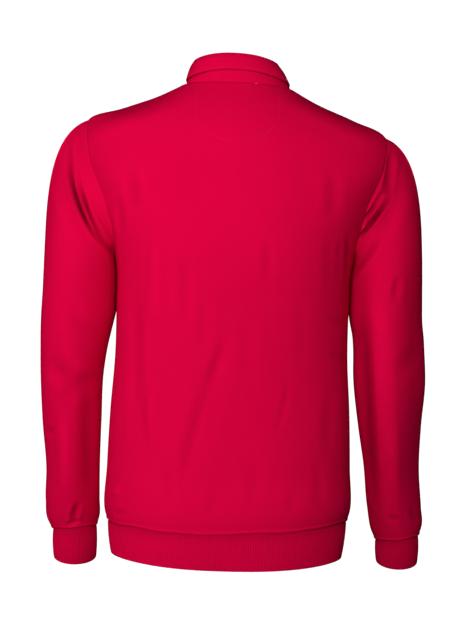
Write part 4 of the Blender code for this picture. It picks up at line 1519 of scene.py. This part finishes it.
def button_threads(station):
    """Two bars of three strands, each from one hole to the one below it."""
    middle, across, down, out = button_seat(station)
    strands = []
    for column in (-1, 1):
        for step in (-1, 0, 1):
            side = middle + across * (column * HOLE_OFFSET + step * STRAND_STEP)
            path = [side + down * HOLE_OFFSET * along + out * height for along, height in STRAND_PATH]
            strands.append(strand_rings(np.array(path), across))
    return strands


resin = resin_material()
all_strands = []
for number, station in enumerate(BUTTON_STATIONS, start=1):
    disc = button(f"button_disc_{number}", station, resin)
    wear(disc, [f"button_{number}"])
    all_strands += button_threads(station)
button_thread = solid_of_rings("button_thread", all_strands, red_thread)
button_thread.data.shade_smooth()
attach(button_thread, "root")


# ---------------------------------------------------------------------------------------------
# The studio: a round pale floor well under the hem, whose rim curves up into a backdrop. A large
# soft key light stands behind the garment, a weaker one to its left and another before it.
# ---------------------------------------------------------------------------------------------
FLOOR_Z = -1.5
FLOOR_REACH = 4.8
RIM_RADIUS = 1.2
RIM_STEPS = 12
WALL_TOP = 4.5
WALL_COLUMNS = 96
HUB_RADIUS = 0.5
PALE = (0.90, 0.90, 0.90, 1.0)
WHITE = (1.0, 1.0, 1.0, 1.0)
FLOOR_ROUGHNESS = 0.9
FLOOR_GLOW = 1.1
# The camera stands behind the garment, level with its middle, and is rolled a little.
CAMERA_PLACE = (0.0, 2.8, -0.339)
CAMERA_ROLL = math.radians(1.5)
CAMERA_LENS = 106.96
# Lights: azimuth from the back towards the left, distance, height, size and power.
LIGHTS = (
    ("key", 5, 1.7, 0.2, 1.1, 28.0),
    ("side", 60, 1.7, -0.4, 1.2, 11.0),
    ("front", 180, 1.9, 0.0, 1.3, 24.0),
)
AIM = (0.0, 0.0, -0.36)
AMBIENT = 0.08

bends = np.radians(np.linspace(0, 90, RIM_STEPS + 1))
wall_reach = FLOOR_REACH + RIM_RADIUS
reaches = np.concatenate(((HUB_RADIUS,), FLOOR_REACH + RIM_RADIUS * np.sin(bends), (wall_reach,)))
levels = np.concatenate(((FLOOR_Z,), FLOOR_Z + RIM_RADIUS * (1 - np.cos(bends)), (WALL_TOP,)))
bearings = np.linspace(0, 2 * np.pi, WALL_COLUMNS, endpoint=False)
floor_x = np.outer(reaches, np.cos(bearings))
floor_y = np.outer(reaches, np.sin(bearings))
floor_z = np.repeat(levels[:, None], WALL_COLUMNS, axis=1)
floor_points = np.stack((floor_x, floor_y, floor_z), axis=-1).reshape(-1, 3)
index = np.arange(len(floor_points)).reshape(floor_x.shape)
after = np.roll(index, -1, axis=1)
floor_faces = np.stack((index[:-1], index[1:], after[1:], after[:-1]), axis=-1).reshape(-1, 4).tolist()
floor_faces.append(index[0].tolist())
floor_mesh = bpy.data.meshes.new("floor")
floor_mesh.from_pydata(floor_points.tolist(), [], floor_faces)
floor_mesh.shade_smooth()
paper, paper_shader = fresh_material("pale paper")[:2]
paper_shader.inputs["Base Color"].default_value = PALE
paper_shader.inputs["Roughness"].default_value = FLOOR_ROUGHNESS
paper_shader.inputs["Emission Color"].default_value = PALE
paper_shader.inputs["Emission Strength"].default_value = FLOOR_GLOW
floor_mesh.materials.append(paper)
floor = placed("floor", floor_mesh)
floor.visible_diffuse = False

for name, azimuth, distance, height, size, power in LIGHTS:
    lamp = bpy.data.lights.new(name, "AREA")
    lamp.shape = "DISK"
    lamp.size = size
    lamp.energy = power
    light = placed(name, lamp)
    angle = math.radians(azimuth)
    place = Vector((distance * math.sin(angle), distance * math.cos(angle), height))
    light.location = place
    light.rotation_euler = (Vector(AIM) - place).to_track_quat("-Z", "Y").to_euler()
    light.visible_camera = False

world = bpy.data.worlds.new("studio")
world.use_nodes = True
sky = world.node_tree.nodes["Background"]
sky.inputs["Color"].default_value = WHITE
sky.inputs["Strength"].default_value = AMBIENT
bpy.context.scene.world = world
bpy.context.scene.view_settings.view_transform = "Standard"

camera = placed("camera", bpy.data.cameras.new("camera"))
camera.data.lens = CAMERA_LENS
turned = Matrix.Rotation(math.pi, 4, "Z") @ Matrix.Rotation(math.pi / 2, 4, "X")
camera.matrix_world = Matrix.Translation(CAMERA_PLACE) @ turned @ Matrix.Rotation(CAMERA_ROLL, 4, "Z")
bpy.context.scene.camera = camera
